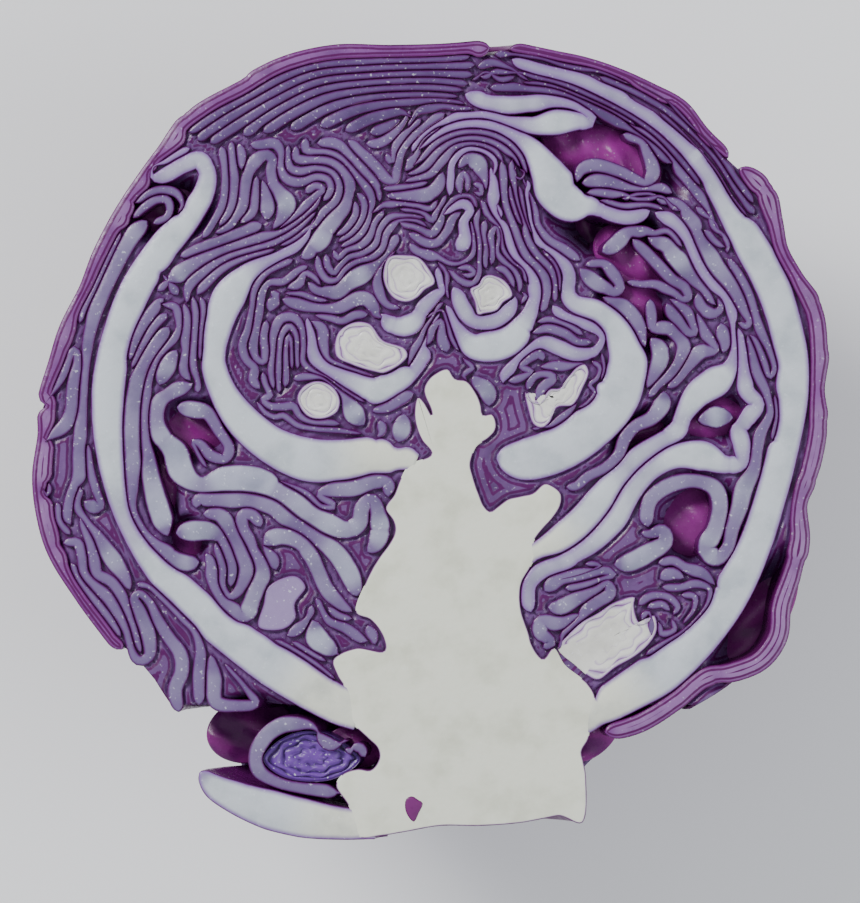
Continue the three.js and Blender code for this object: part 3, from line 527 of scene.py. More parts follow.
leaf("left_leaf_5", None, [
    (-71.8, -24.6, 0.6), (-70.4, -28, 0.7), (-67.4, -32, 1), (-64.2, -36, 1), (-61.9, -39.4, 0.8),
])
leaf("left_leaf_43", None, [
    (-76.2, -8.6, 0.5), (-76.6, -11, 0.7), (-77.6, -9.4, 0.6),
])
leaf("left_leaf_44", None, [
    (-74.6, -12.4, 0.5), (-74.2, -16, 0.5), (-72.6, -18.2, 0.5), (-72, -19, 0.4),
])
leaf("left_leaf_7", None, [
    (-58.8, -28.8, 0.5), (-56.4, -29.2, 0.5), (-53.6, -31.6, 0.6), (-49.6, -35.6, 0.7),
    (-47, -38.4, 0.7), (-45.8, -42, 0.7), (-46.2, -47, 0.7), (-46.2, -53, 0.6),
])
leaf("left_leaf_8", None, [
    (-43.8, -43, 0.5), (-43.2, -47.4, 0.9), (-42.8, -52.4, 0.8), (-38.6, -53.2, 0.6), (-35, -52.6, 0.6),
    (-37, -49.4, 0.4), (-41, -44.8, 0.4),
])
leaf("base_collar", None, [
    (-16.4, -60.2, 0.7), (-20, -60.8, 0.8), (-22.6, -58.2, 0.7), (-25.4, -56.8, 0.9), (-29.4, -57, 1),
    (-32.8, -59.2, 0.9), (-34.6, -62.6, 0.9), (-34.2, -66.4, 0.9), (-31, -68.6, 0.8), (-25, -69.9, 0.9),
    (-18.6, -70.6, 0.9), (-14.4, -70.2, 0.8),
])
leaf("base_knob", None, [
    (-17, -61.8, 1), (-14.4, -62, 1.6), (-13, -63.4, 1),
])
leaf("hook_leaf_1", None, [
    (-59, 47.4, 0.5), (-56.6, 49.2, 0.5), (-53.6, 50, 0.5), (-50.7, 49.3, 0.5), (-49.5, 47, 0.5),
    (-50.4, 45.4, 0.4),
])
leaf("hook_leaf_2", None, [
    (-59.4, 44.4, 0.5), (-57, 46.8, 0.5), (-54.6, 48.2, 0.5), (-52.5, 48, 0.5), (-51.9, 46, 0.6),
    (-52.7, 44.4, 0.6), (-55.4, 43.3, 0.6),
])
leaf("base_leaf", "base_leaf", [
    (-11, -77, 2.6), (-18, -76.7, 3), (-25, -75.7, 3.6), (-32, -74, 3.7), (-38, -71.9, 3.1),
    (-43, -69.4, 2.4), (-46, -66.4, 1.4),
])

# ---------------------------------------------------------------------------------------------------
# The left inner leaf: a thick curled rib from the neck of the core, with the folds and the cupped
# leaflets of two buds in its hollow.
leaf("inner_leaf_left", "inner_leaf_left", [
    (-2.8, -4.4, 1.6), (-7, -2.9, 3.4), (-12, -3.4, 3.8), (-18, -4.2, 4), (-25, -3.8, 4.1),
    (-32, -0.8, 3.5), (-37.6, 4, 3.2), (-41.4, 9.6, 2.6), (-43.4, 16, 2.3), (-42.6, 22.6, 2.8),
    (-40, 29, 3.2), (-36.6, 33, 2.1), (-32, 35.8, 1.3), (-28, 38.2, 0.9), (-25.2, 40.6, 0.8),
    (-23, 44.4, 0.5),
])
leaf("left_arm_tip", None, [
    (-6.4, -0.4, 2.2), (-5.6, 2.6, 1.9), (-5.2, 5.2, 1),
])
leaf("left_fold_1", "left_fold_1", [
    (-27.4, 36.2, 0.5), (-30, 35.2, 0.5), (-33.4, 33, 0.6), (-35.2, 30.2, 0.6), (-35.7, 26.4, 0.5),
    (-36.5, 22, 0.5), (-37.5, 19, 0.6), (-36.7, 16.4, 0.6), (-34.9, 14.4, 0.6), (-35.4, 12, 0.6),
    (-34, 10.2, 0.5),
])
leaf("left_fold_2", "left_fold_2", [
    (-24.4, 34.9, 0.5), (-26.8, 33.2, 0.6), (-29.2, 31.6, 0.5), (-32, 31.4, 0.5), (-33.6, 29.4, 0.6),
    (-34.2, 26, 0.6), (-34.7, 22, 0.6), (-35.5, 18.6, 0.6), (-34.9, 16.2, 0.5), (-33.3, 15.5, 0.6),
    (-32.7, 17.6, 0.6), (-33.3, 21, 0.6), (-32.7, 24, 0.5),
])
leaf("left_fold_3", None, [
    (-31.8, 29.8, 0.6), (-30.7, 28.6, 0.9), (-31.7, 27, 0.8), (-32.1, 25.6, 0.5),
])
leaf("left_fold_7", None, [
    (-31.3, 10.2, 0.5), (-31.9, 13.4, 0.5), (-31.6, 17.6, 0.6), (-31.2, 21.4, 0.6), (-29.8, 24.1, 0.6),
    (-27.6, 24.5, 0.6), (-25.8, 22.8, 0.6), (-25.3, 19, 0.6), (-25.4, 15.8, 0.5), (-23.4, 13.9, 0.5),
    (-20.4, 12.5, 0.5), (-17, 10, 0.6), (-13, 7.6, 0.5),
])
leaf("left_fold_8", None, [
    (-30.3, 9.4, 0.5), (-30.2, 13, 0.5), (-30.2, 17, 0.5), (-29.6, 21, 0.5), (-28.2, 22.8, 0.5),
    (-26.9, 21.4, 0.5), (-26.6, 17.6, 0.5), (-26.6, 14.2, 0.4),
])
leaf("left_fold_9", None, [
    (-29.1, 10.6, 0.5), (-28.8, 14, 0.5), (-28.7, 18, 0.5), (-28.2, 20.8, 0.5), (-27.8, 18, 0.4),
    (-27.6, 14.2, 0.4),
])
leaf("left_fold_4", "left_fold_4", [
    (-33.4, 13.6, 0.5), (-32.9, 11.4, 0.5), (-31.9, 9, 0.5), (-33.4, 8, 0.5), (-32, 6.7, 0.5),
    (-29.4, 6.6, 0.5), (-27.2, 6.8, 0.5), (-25.8, 4.9, 0.6), (-23.6, 3.7, 0.5), (-20, 3.4, 0.5),
    (-18, 3.2, 0.4),
])
leaf("left_fold_10", None, [
    (-34.6, 7.6, 0.5), (-33, 5.4, 0.5), (-31, 4.5, 0.5), (-29.4, 4.8, 0.5), (-28.2, 4, 0.5),
    (-26.4, 2.8, 0.5), (-23, 2.2, 0.5), (-18, 1.8, 0.5), (-13.6, 1.3, 0.4),
])
leaf("bud_leaf_lower", None, [
    (-27.4, 12.2, 0.4), (-24.6, 12.8, 0.5), (-22, 12.6, 0.5), (-19.2, 10.4, 0.7), (-16.6, 7.6, 1.5),
    (-14.8, 4.8, 2.3), (-13.2, 3, 1.5),
])
leaf("left_fold_5", "left_fold_5", [
    (-29.6, 28.2, 0.6), (-25.6, 27.2, 0.8), (-22, 26.4, 0.8), (-18.4, 26.7, 0.9), (-14.6, 28.5, 1.1),
    (-12.4, 28.2, 1), (-11, 25.9, 0.8), (-9.4, 24.4, 0.6),
])
leaf("left_fold_11", None, [
    (-29, 29.4, 0.4), (-26, 29.3, 0.5), (-23.4, 28.4, 0.6), (-20.4, 27.9, 0.5),
])
leaf("left_fold_6", None, [
    (-24.4, 31.6, 0.7), (-22, 29.9, 1.2), (-18.6, 29.6, 1.4), (-16.4, 31.4, 1.6), (-13.6, 33, 1.9),
    (-10.9, 34.5, 0.9), (-8.4, 36.6, 0.7), (-7.3, 39.6, 0.6), (-6.4, 41.2, 0.5),
])
leaf("left_fold_12", None, [
    (-28.6, 30.3, 0.5), (-26.2, 31.3, 1.1), (-25, 33.4, 0.6), (-23.6, 32.6, 0.5), (-21.9, 30.9, 0.5),
])
leaf("left_fold_13", None, [
    (-22.6, 37, 0.5), (-22, 34.2, 0.5), (-20.6, 31.9, 0.6), (-18.6, 31.9, 0.5), (-17, 34, 0.5),
    (-14.6, 35.6, 0.5), (-11.4, 36.6, 0.5), (-9.5, 38.4, 0.5), (-8.7, 41.4, 0.5), (-6.6, 43.5, 0.5),
    (-3, 43.8, 0.5), (-0.6, 42.6, 0.5),
])
leaf("left_fold_14", None, [
    (-20.8, 37.2, 0.5), (-20.6, 34.8, 0.5), (-19.2, 33.3, 0.4), (-18.1, 34.6, 0.4), (-16.4, 36.6, 0.5),
    (-13.4, 37.4, 0.5), (-10.9, 39.2, 0.5), (-10.1, 42, 0.5), (-8, 44.5, 0.5), (-4.4, 45, 0.5),
    (-0.8, 44.5, 0.4),
])
leaf("left_fold_15", None, [
    (-19.2, 38, 0.5), (-18.4, 36.4, 0.4), (-16.6, 38, 0.5), (-13.8, 39, 0.6), (-12, 41, 0.6),
    (-11.2, 43.6, 0.6), (-9.2, 46, 0.5),
])
leaf("bud_leaf_left", "bud_leaf_left", [
    (-24.5, 24.5, 0.5), (-23.7, 20.6, 0.9), (-23, 17.4, 1.3), (-20.4, 14.1, 1.9), (-16, 11.4, 2.5),
    (-11.6, 10, 2.8), (-8.4, 10.4, 2.7), (-5.4, 12.4, 2), (-2.4, 15.6, 1.6), (-0.9, 19.2, 1),
    (0.4, 22.6, 0.7), (2, 25.4, 0.5),
])
leaf("bud_thin_left", None, [
    (-23.8, 23.8, 0.4), (-21.9, 22.2, 0.9), (-21.7, 19, 0.8), (-20.6, 16.2, 0.7), (-17.6, 14.8, 0.5),
    (-13.6, 13.5, 0.4), (-11, 12.7, 0.3),
])
leaf("bud_thin_right", None, [
    (-4.4, 14.8, 0.5), (-3.2, 17.4, 0.7), (-1.9, 19.6, 0.7), (-0.9, 22.4, 0.6), (0.8, 25.2, 0.6),
    (2.8, 27.6, 0.6),
])
leaf("bud_thin_top", None, [
    (-23, 25, 0.4), (-20, 24.5, 0.5), (-17.6, 23.8, 0.4), (-15, 25, 0.5), (-12.4, 25.2, 0.5),
])
leaf("bud_leaf_centre", "bud_leaf_centre", [
    (-9.9, 25.2, 0.6), (-8.2, 23.4, 1.2), (-5.4, 22.7, 2.1), (-2.6, 24, 1.9), (-0.8, 26.6, 1.2),
    (1.2, 28.6, 0.8), (2.8, 29.8, 0.6), (2.2, 32, 0.6), (1.6, 34.6, 0.6),
])
leaf("bud_thin_centre", None, [
    (-7, 37.8, 0.6), (-9.7, 34.8, 0.6), (-10.6, 31.8, 0.9), (-9.9, 28.6, 0.6), (-8.4, 26.9, 0.4),
    (-6, 26.3, 0.4),
])
leaf("tip_leaf_left", None, [
    (-11.6, 5.8, 0.6), (-8.4, 6.9, 0.9), (-5.4, 8.8, 1), (-3.2, 9.4, 0.9),
])
leaf("tip_leaf_small", None, [
    (-10, 4, 0.8), (-9.6, 1.6, 0.8), (-10.6, 0.4, 0.4),
])

# ---------------------------------------------------------------------------------------------------
# The folds above the left buds: one crumpled blade that doubles back on itself again and again.
leaf("upper_fold_3", None, [
    (-41.7, 58.8, 0.5), (-41.1, 55, 0.6), (-41, 50, 0.7), (-41.6, 46.6, 0.7), (-43.5, 43, 0.7),
    (-45.6, 40.4, 0.5),
])
leaf("upper_fold_12", None, [
    (-39.6, 59.8, 0.6), (-39.4, 55, 0.7), (-39.4, 50, 0.7), (-40.2, 46, 0.7), (-42.2, 42.8, 0.7),
])
leaf("upper_fold_13", None, [
    (-38.3, 59.4, 0.6), (-37.9, 56.6, 0.7), (-37.7, 54, 0.4),
])
leaf("upper_fold_4", "upper_fold_4", [
    (-43, 41.4, 0.6), (-39.6, 43.4, 0.7), (-37.4, 47, 0.8), (-36.8, 51, 0.8), (-35.7, 54.8, 0.8),
    (-33, 57.3, 0.7), (-31.3, 56.2, 0.7), (-31.7, 53.4, 0.7), (-31.6, 51.2, 0.8), (-30.2, 49.4, 0.9),
    (-28.6, 47.2, 1.5), (-29.4, 43.8, 1.2), (-31.4, 42.2, 0.7),
])
leaf("upper_fold_14", None, [
    (-34.6, 52.8, 0.5), (-34.9, 48.6, 0.8), (-35.6, 45.6, 0.6), (-38, 43.4, 0.5),
])
leaf("upper_fold_5", None, [
    (-33.5, 52, 0.5), (-32.9, 49, 1.1), (-32.5, 46, 1.1), (-32.9, 44, 0.7),
])
leaf("upper_fold_1", "upper_fold_1", [
    (-36, 59.2, 0.5), (-33.6, 58.9, 0.7), (-31, 59.2, 0.7), (-29.7, 57.6, 0.7), (-29.8, 54.6, 0.7),
    (-28.5, 52.4, 0.7), (-25.6, 51.8, 0.7), (-22.4, 52.7, 0.8), (-20.3, 52.2, 0.8), (-19.8, 50.4, 0.8),
    (-21.4, 47.8, 0.8),
])
leaf("upper_fold_15", None, [
    (-28.3, 59, 0.6), (-28.5, 56, 0.7), (-28, 54.2, 0.6), (-26, 53.6, 0.7), (-22.6, 54.4, 0.7),
    (-19.6, 53.4, 0.8), (-18.2, 50.8, 0.8), (-18.8, 48, 0.8), (-21.6, 45.4, 0.8), (-24.2, 42.4, 0.9),
    (-26.8, 40.4, 0.7), (-30, 38.9, 0.6),
])
leaf("upper_fold_16", None, [
    (-25, 49.4, 0.6), (-22.8, 50.9, 0.7), (-21.4, 50.2, 0.7), (-23.2, 47.8, 0.9), (-26.6, 44.8, 0.9),
    (-30.2, 42.3, 0.8),
])
leaf("upper_fold_6", "upper_fold_6", [
    (-26.8, 58.9, 0.6), (-26.8, 56.4, 0.6), (-23.2, 56, 0.8), (-19.8, 55.6, 0.9), (-17.2, 53.6, 0.9),
    (-16.1, 50.4, 0.9), (-16.9, 47.2, 0.9), (-19, 44.6, 1.1), (-21.4, 41, 1.5), (-23.4, 37.9, 1.2),
    (-25.8, 36.4, 0.6),
])
leaf("upper_fold_17", None, [
    (-24.8, 60.4, 0.6), (-24.8, 58, 0.7), (-20.8, 57.7, 0.7), (-17.8, 56.4, 0.7), (-14.8, 53.4, 0.7),
    (-12.2, 50.4, 0.7), (-11.5, 47.4, 0.7), (-12.3, 43.6, 0.7), (-14.8, 40.4, 0.6), (-18, 38.6, 0.5),
])
leaf("upper_fold_7", None, [
    (-22.6, 59.3, 0.8), (-18.2, 58.8, 0.9), (-15.8, 56.4, 0.8), (-13, 53.2, 0.9), (-10.4, 50.2, 0.7),
    (-10.1, 47.6, 0.5),
])
leaf("upper_fold_18", None, [
    (-14.6, 49.4, 0.5), (-13.1, 47.4, 0.6), (-13.5, 44.4, 0.6), (-15.5, 41.6, 0.6), (-18.4, 39.6, 0.5),
])
leaf("upper_fold_19", None, [
    (-15, 47.8, 0.5), (-14.8, 45, 0.5), (-16.8, 42, 0.5), (-18.8, 40.9, 0.5),
])
leaf("upper_fold_9", None, [
    (-16.4, 60, 0.6), (-13.8, 57.4, 0.7), (-10.8, 54.4, 0.7), (-8.6, 51.9, 0.7), (-7, 51.7, 0.6),
    (-6.5, 54, 0.6), (-6.2, 57, 0.7), (-3.8, 60.2, 0.7), (-0.6, 63, 0.6), (3, 65.4, 0.6),
])
leaf("upper_fold_11", None, [
    (-12.8, 59.3, 0.5), (-9.8, 59.5, 0.6), (-7.7, 61, 0.6), (-5.2, 64, 0.6), (-3.8, 66, 0.5),
])
leaf("upper_fold_20", None, [
    (-8.6, 57.4, 0.7), (-7.6, 55.6, 0.5), (-7, 58, 0.7), (-4.8, 61.4, 0.6), (-1.8, 64.4, 0.6),
])
leaf("upper_fold_10", "upper_fold_10", [
    (-5, 53.8, 0.6), (-3.4, 55, 1.2), (-2.6, 57.4, 1), (-1.2, 60.2, 0.7), (2, 62.6, 0.5),
])
leaf("upper_fold_21", None, [
    (-50, 36.7, 0.8), (-44.6, 38.8, 0.9), (-38.6, 41, 0.9), (-33.6, 43.2, 0.8),
])
leaf("upper_fold_2", "upper_fold_2", [
    (-54.6, 29.8, 0.6), (-51.4, 32.4, 1.4), (-47.4, 35.2, 1.4), (-42.6, 37.4, 1.1), (-37, 39.5, 0.9),
    (-32, 41, 0.8), (-27, 43.5, 0.8), (-23.4, 46.6, 0.8), (-21.6, 49.4, 0.5),
])
leaf("upper_fold_22", None, [
    (-48.8, 27.4, 0.6), (-48.2, 31, 0.7), (-45.2, 34, 0.8), (-40.8, 36.6, 0.8), (-35, 38.1, 0.8),
    (-30.2, 39.7, 0.8), (-26.2, 42.4, 0.7), (-22.8, 45.6, 0.6),
])
leaf("upper_fold_23", None, [
    (-46.6, 29, 0.6), (-44.4, 31.4, 0.7), (-41.2, 34.4, 0.7), (-36.6, 36.7, 0.7), (-31, 38.2, 0.6),
])
leaf("upper_fold_8", "upper_fold_8", [
    (-11.6, 45.4, 0.6), (-8.6, 47.2, 0.6), (-3, 46.9, 0.7), (0.2, 46.2, 0.6), (1.6, 48, 0.6),
])
leaf("upper_fold_24", None, [
    (-9.4, 50.2, 0.6), (-5, 50.6, 0.8), (-0.4, 51.6, 0.6),
])
leaf("upper_fold_25", None, [
    (-8.8, 48.9, 0.5), (-4.4, 48.9, 1.4), (-0.4, 49.2, 1.4), (1.8, 51.2, 0.9), (2.6, 53.6, 0.6),
])

# ---------------------------------------------------------------------------------------------------
# The right inner leaf: the mirror of the left one. It cradles a bud in two cups, under a nest of
# the thinnest leaves of the head.
leaf("inner_leaf_right", "inner_leaf_right", [
    (13.4, -3.4, 3.9), (19, -3.9, 4), (26.4, -1.5, 4.2), (32.6, 3, 4.3), (37.2, 8.6, 4.4),
    (39.6, 15.2, 3.7), (38, 21.4, 3), (34, 25.6, 2.2), (29, 27.3, 1.7), (27, 30, 1.4),
    (27.4, 33.2, 1.2), (25.4, 36.4, 1), (22, 39.2), (20.4, 42.6), (19.8, 47), (19.4, 52),
])
leaf("cup_leaf", "cup_leaf", [
    (3.2, 27, 0.9), (5, 22.6, 1.2), (8.4, 18.9, 2.4), (12, 18.7, 3), (15.8, 19.8, 2.8),
    (18.8, 22.8, 2.3), (20.7, 26.6, 1.4), (21, 30, 1), (19.6, 33.6), (16.8, 36.8, 1.2), (15.2, 41.6),
    (13.2, 46), (12.6, 50), (12.2, 54.6, 0.8),
])
leaf("cup_leaf_inner", "cup_leaf_inner", [
    (17, 28.8, 0.5), (15.8, 25.6, 1.2), (12.4, 23.6, 1.5), (8.2, 24.4, 1.6), (6, 27.4, 1.6),
    (4.7, 30.6, 0.9),
])
leaf("cup_fold_1", "cup_fold_1", [
    (22.2, 25.6, 0.7), (23.4, 29.4, 0.8), (23.2, 32.2, 0.8), (21.6, 34.6, 0.8), (19.4, 36.6, 1),
    (17.9, 39.4, 0.9), (16.6, 43, 0.9), (15.4, 47, 0.9), (14.9, 51), (14.5, 56, 0.6),
])
leaf("cup_fold_2", None, [
    (24.9, 27.6, 0.6), (25.2, 31), (24.4, 34, 0.8), (21.6, 37, 0.9), (20, 39.6), (19, 43, 0.9),
    (17.6, 47.6), (16.8, 52), (16.5, 56, 0.7),
])
leaf("cup_fold_3", None, [
    (26, 29.6, 0.5), (25.9, 32.4, 0.6), (24.9, 35.4, 0.6), (22.6, 38, 0.7),
])
leaf("bud_fold_1", None, [
    (3.6, 34, 0.5), (6, 31.9, 0.6), (8.8, 31, 0.6), (9.9, 33.4, 0.5), (10.2, 37, 0.5), (9.9, 40.4, 0.5),
    (9, 44, 0.5), (10, 46.4, 0.5),
])
leaf("bud_fold_2", None, [
    (1.6, 35.6, 0.6), (3.4, 33.4, 0.6), (3.2, 30.6, 0.5), (3.7, 28.2, 0.5),
])
leaf("bud_fold_3", None, [
    (5.4, 34.4, 0.5), (7.6, 34.6, 0.5), (8.9, 33.4, 0.4), (7.6, 32.8, 0.4), (6.4, 33.2, 0.4),
])
leaf("bud_fold_4", "folds_over_bud", [
    (12.2, 35, 0.5), (12.6, 38, 0.5), (12.2, 41, 0.5), (13.4, 42.8, 0.5), (14.2, 40.6, 0.6),
    (13.6, 37.6, 0.6), (15, 35.8, 0.6), (17, 33.8, 0.6), (18, 31, 0.5), (17.8, 29.4, 0.4),
])
leaf("bud_fold_5", None, [
    (13, 34.4, 0.5), (14.8, 34.2, 0.5), (16.2, 32.6, 0.5), (16.8, 30.4, 0.4),
])
leaf("bud_fold_6", None, [
    (11.2, 44, 0.5), (10.6, 41.6, 0.5), (11, 38.6, 0.4), (10.8, 36, 0.9), (11.2, 34.2, 0.7),
])
leaf("bud_fold_7", None, [
    (18.2, 27.2, 0.4), (19.3, 28.8, 0.4), (18.4, 29.6, 0.3),
])
leaf("bud_fold_8", None, [
    (10.2, 48, 0.7), (11.6, 45.2, 0.7), (14, 42.4, 0.6), (14.6, 38.4, 0.8), (16.6, 35.8, 0.7),
    (18.8, 34, 0.6), (19.4, 31.4, 0.5),
])
leaf("rib_leaf_mid", "rib_leaf_right", [
    (14.6, 11.4, 0.6), (15.4, 13.6, 0.8), (19, 17.4, 0.8), (22.4, 19.4, 0.9), (26, 18.4, 0.9),
    (29.6, 16.9, 1.1), (33, 17.6, 0.7), (34.6, 20.4, 0.6), (33.2, 22.4, 0.8), (30.4, 23.6, 0.9),
    (26.4, 25, 0.9), (24.6, 27, 0.7),
])
leaf("rib_fold_1", None, [
    (15.6, 11.8, 0.4), (18, 12.4, 0.5), (20.4, 13.6, 0.5), (18.2, 14.6, 0.5), (20.2, 16.8, 0.6),
    (22, 17.2, 0.8), (22.6, 15.8, 0.5),
])
leaf("rib_fold_2", None, [
    (22, 14.6, 0.5), (25, 14.8, 0.6), (28.6, 14.9, 0.6), (31, 15.3, 0.4),
])
leaf("rib_fold_3", None, [
    (32.4, 15.8, 0.5), (34, 14.6, 0.5), (33.6, 12.4, 0.5), (32, 11, 0.5), (33, 9.6, 0.5),
    (31.4, 7.4, 0.5), (29.6, 6.4, 0.4),
])
leaf("rib_fold_4", None, [
    (34.4, 17.4, 0.4), (34.8, 14.4, 0.4), (34.2, 12, 0.4),
])
leaf("rib_fold_5", None, [
    (20.4, 2.2, 0.6), (24, 3, 0.7), (27.4, 5.2, 0.7), (29.4, 7.4, 0.5),
])
leaf("rib_fold_6", None, [
    (19.3, 10, 0.4), (20.6, 12.8, 0.6), (22.6, 13.4, 0.5), (24.4, 12.6, 0.6), (22.6, 9.8, 0.9),
    (21, 8, 0.5),
])
leaf("rib_long_leaf", None, [
    (20.4, 21.4, 0.6), (23.4, 22.6, 0.7), (27, 21.6, 0.7), (29.4, 19.8, 0.6), (32.4, 19.6, 0.5),
])
leaf("rib_long_leaf_2", None, [
    (21.4, 23.6, 0.6), (24, 24, 0.6), (28, 22.8, 0.6), (30.6, 21, 0.5),
])
leaf("tip_leaf_right", None, [
    (6.6, 16.4, 0.4), (8.6, 14.4, 0.5), (6.8, 12.8, 0.5), (7.4, 11.8, 0.3),
])
leaf("tip_leaf_up", "core_leaf_right", [
    (8.6, 12.8, 1), (9.4, 11.4, 1.2), (11.4, 9.6, 1.3), (11.8, 6.8, 1.1),
])
leaf("arch_leaf_low", None, [
    (3.4, 17.6, 1.1), (2.6, 20.8, 0.8), (2.2, 24, 0.6), (0.4, 22.6, 0.8), (-0.8, 19, 0.9),
])
leaf("arch_low_2", None, [
    (5.8, 17.8, 0.4), (4.4, 20.6, 0.7), (3.6, 23.4, 0.6), (2.4, 26, 0.6), (-0.6, 24.4, 0.6),
])

# ---------------------------------------------------------------------------------------------------
# The leaves of the right side: two fleshy arms from the core, and looser blades with hollows
# between them, where the leaves don't touch.
leaf("arm_leaf_2", "arm_leaf_2", [
    (20.2, -34.4, 0.8), (19.4, -31.6, 1), (19.8, -28.6, 1.1), (22.4, -26, 1.1), (27, -24, 1.3),
    (32, -20.9, 1.9), (36.6, -15.8, 2.6), (40, -10, 2.4), (44, -6, 2), (49, -3.4, 2.2), (54.6, -3.2, 3),
    (59, -4.9, 1.7), (62.2, -4.4, 1), (62.4, -1, 1.2), (61.6, 2.4, 1.2), (64, 5, 1.7), (65.3, 7.2, 1.6),
    (63.2, 10, 1.5), (62.5, 14, 1.2), (62, 19, 0.9), (61.6, 22.4, 0.7),
])
leaf("side_thin_1", None, [
    (40, 63.2, 0.8), (45, 59.6, 0.8), (50, 54.2, 0.7), (54, 49.4, 0.8), (55.6, 46, 0.6),
    (57.2, 42.6, 0.6), (59.4, 39.4, 0.7), (59.4, 37.4, 0.5),
])
leaf("side_thin_2", None, [
    (59.6, 36.4, 0.6), (62, 33, 0.8), (64, 29, 0.8), (65.2, 24.6, 0.8), (66.6, 21.4, 0.7),
    (68.2, 17.6, 0.6), (69, 14, 0.6), (68, 12.6, 0.5), (66.8, 15.6, 0.6), (65.2, 19, 0.6),
    (64, 21, 0.5),
])
leaf("side_thin_3", "side_leaf_right", [
    (61.6, 23.4, 0.7), (63.2, 22.6, 0.5), (64, 23.6, 0.5), (62.8, 26.4, 0.8), (60, 31.2, 1.1),
    (57, 35, 1.3), (54.6, 39.4, 1.2), (52.4, 43.4, 1.2), (48.6, 47.2, 1), (44, 49, 1),
    (38.4, 48.4, 1.1),
])
leaf("side_thin_4", None, [
    (58.4, 40.6, 0.5), (56.2, 44.4, 0.5), (53.2, 46.6, 0.6),
])
leaf("side_thin_5", None, [
    (59, 38.6, 0.5), (56.6, 40, 0.6), (54.8, 42, 0.6),
])
leaf("side_mid_1", None, [
    (43.6, 40.6, 0.7), (47, 39.4, 1.6), (49.8, 36, 1.3), (52.6, 32, 0.9), (55.6, 28.6, 0.9),
    (57.2, 27, 0.5),
])
leaf("side_mid_2", "arm_fold_3", [
    (39.4, 31.7, 0.35), (42, 31.2, 0.4), (45.4, 31.1, 0.5), (48.2, 29.6, 0.7), (50.4, 27.8, 0.7),
    (51.8, 28.4, 0.7), (51.2, 30.6, 0.8), (48.6, 32, 0.7), (46.4, 34.4, 0.7), (43.4, 37.6, 0.7),
    (40.6, 40.2, 0.6),
])
leaf("side_mid_3", None, [
    (34.4, 37.6, 0.8), (36.4, 38.6, 0.9), (39.4, 41, 1), (42.6, 41.4, 0.8), (45, 41, 0.6),
    (47.4, 41.6, 0.6), (50.4, 38.6, 0.5),
])
leaf("side_loop_1", None, [
    (47.4, 27.4, 0.6), (49, 24.6, 0.8), (51.4, 21.6, 0.9), (52.8, 21.6, 0.8), (52.4, 24.4, 0.8),
    (50.4, 27, 0.8), (48, 28.2, 0.6),
])
leaf("side_mid_4", None, [
    (53.6, 29.4, 0.9), (54.6, 26.2, 1.2), (57, 25.2, 1), (58.2, 26.4, 0.9), (57.6, 28.4, 0.7),
])
leaf("side_mid_5", None, [
    (53.4, 25.4, 0.6), (54.4, 22.4, 0.8), (56.2, 19.8, 0.9), (57.2, 18, 0.8), (54.4, 17.8, 1.1),
    (51.8, 15.4, 1), (49.6, 12.4, 0.8), (47.4, 10.4, 0.7),
])
leaf("side_mid_6", None, [
    (58.2, 23.4, 1.6), (59, 19.6, 1.3), (58.6, 17.4, 0.8),
])
leaf("side_mid_7", "arm_fold_2", [
    (44, 28.2, 0.5), (44.2, 25.6, 0.6), (44.6, 22.4, 0.7), (48, 22.4, 0.9), (50.8, 19.4, 1),
    (50.4, 16, 0.9), (48, 12.6, 0.8), (45.4, 10.4, 0.7), (43.6, 8.6, 0.6),
])
leaf("side_mid_8", None, [
    (44.2, 20.4, 0.8), (46, 17.4, 1.6), (44.6, 13.4, 1), (43.4, 10.4, 0.5),
])
leaf("rib_sheath_right", None, [
    (30, 34.4, 0.8), (33.4, 31.2, 1), (36.8, 29.4, 0.9), (38, 30.6, 0.6), (36.4, 33.6, 0.7),
    (34.6, 35.4, 0.5), (31, 34.9, 0.5),
])
leaf("rib_sheath_2", None, [
    (34.6, 28.6, 0.7), (38.6, 26.4, 1.3), (41.6, 22.6, 1.2), (43, 18.6, 0.6),
])
leaf("inner_thin_right", None, [
    (30, 35.9, 0.5), (27, 37.8, 0.7), (23.4, 40, 0.7), (21.2, 43.2, 0.7), (20.8, 46, 0.9),
    (19.6, 50, 0.6), (18.4, 53, 0.6),
])
leaf("pocket_lip", "arm_fold_1", [
    (27.2, -9.4, 0.5), (29.4, -9.2, 0.7), (31.6, -7.4, 0.8), (35.4, -5.6, 0.9), (38, -3, 1),
    (38.8, 0.4, 1), (41, 3, 0.9), (44.4, 4.6, 0.9), (46.6, 7.6, 1.3), (46.8, 9.8, 0.9),
])
leaf("loop_leaf", None, [
    (42.2, -18.6, 0.8), (46.6, -18.4, 0.9), (47, -20.4, 0.9), (43.4, -22.8, 1.4), (39.6, -24.6, 1.3),
    (36.8, -25, 0.8),
])
leaf("loop_leaf_2", "arm_leaf_3", [
    (43.6, -17.4, 1), (43.2, -14.4, 1), (44, -11.6, 1.2), (48, -8.9, 1.1), (53, -7.9, 1),
    (56.8, -9.4, 1.1), (58, -13, 1), (57, -18, 1), (55.2, -21.8, 1.6), (57.6, -23.6, 1.3),
    (59.8, -21.8, 0.9), (60.8, -17.6, 1), (62.2, -13.4, 1.3), (63, -9.8, 1.5), (64.8, -6.6, 1.1),
    (65.6, -2, 0.9), (66.4, 1.4, 0.9), (68.2, 5.4, 0.8), (67.2, 9.4, 0.8), (65.2, 14, 0.9),
    (64.4, 18.4, 0.7), (63.6, 21, 0.5),
])
leaf("magenta_bulb", None, [
    (53.6, 4, 0.9), (57.4, 4.6, 2.4), (60.6, 4.4, 1.2),
])
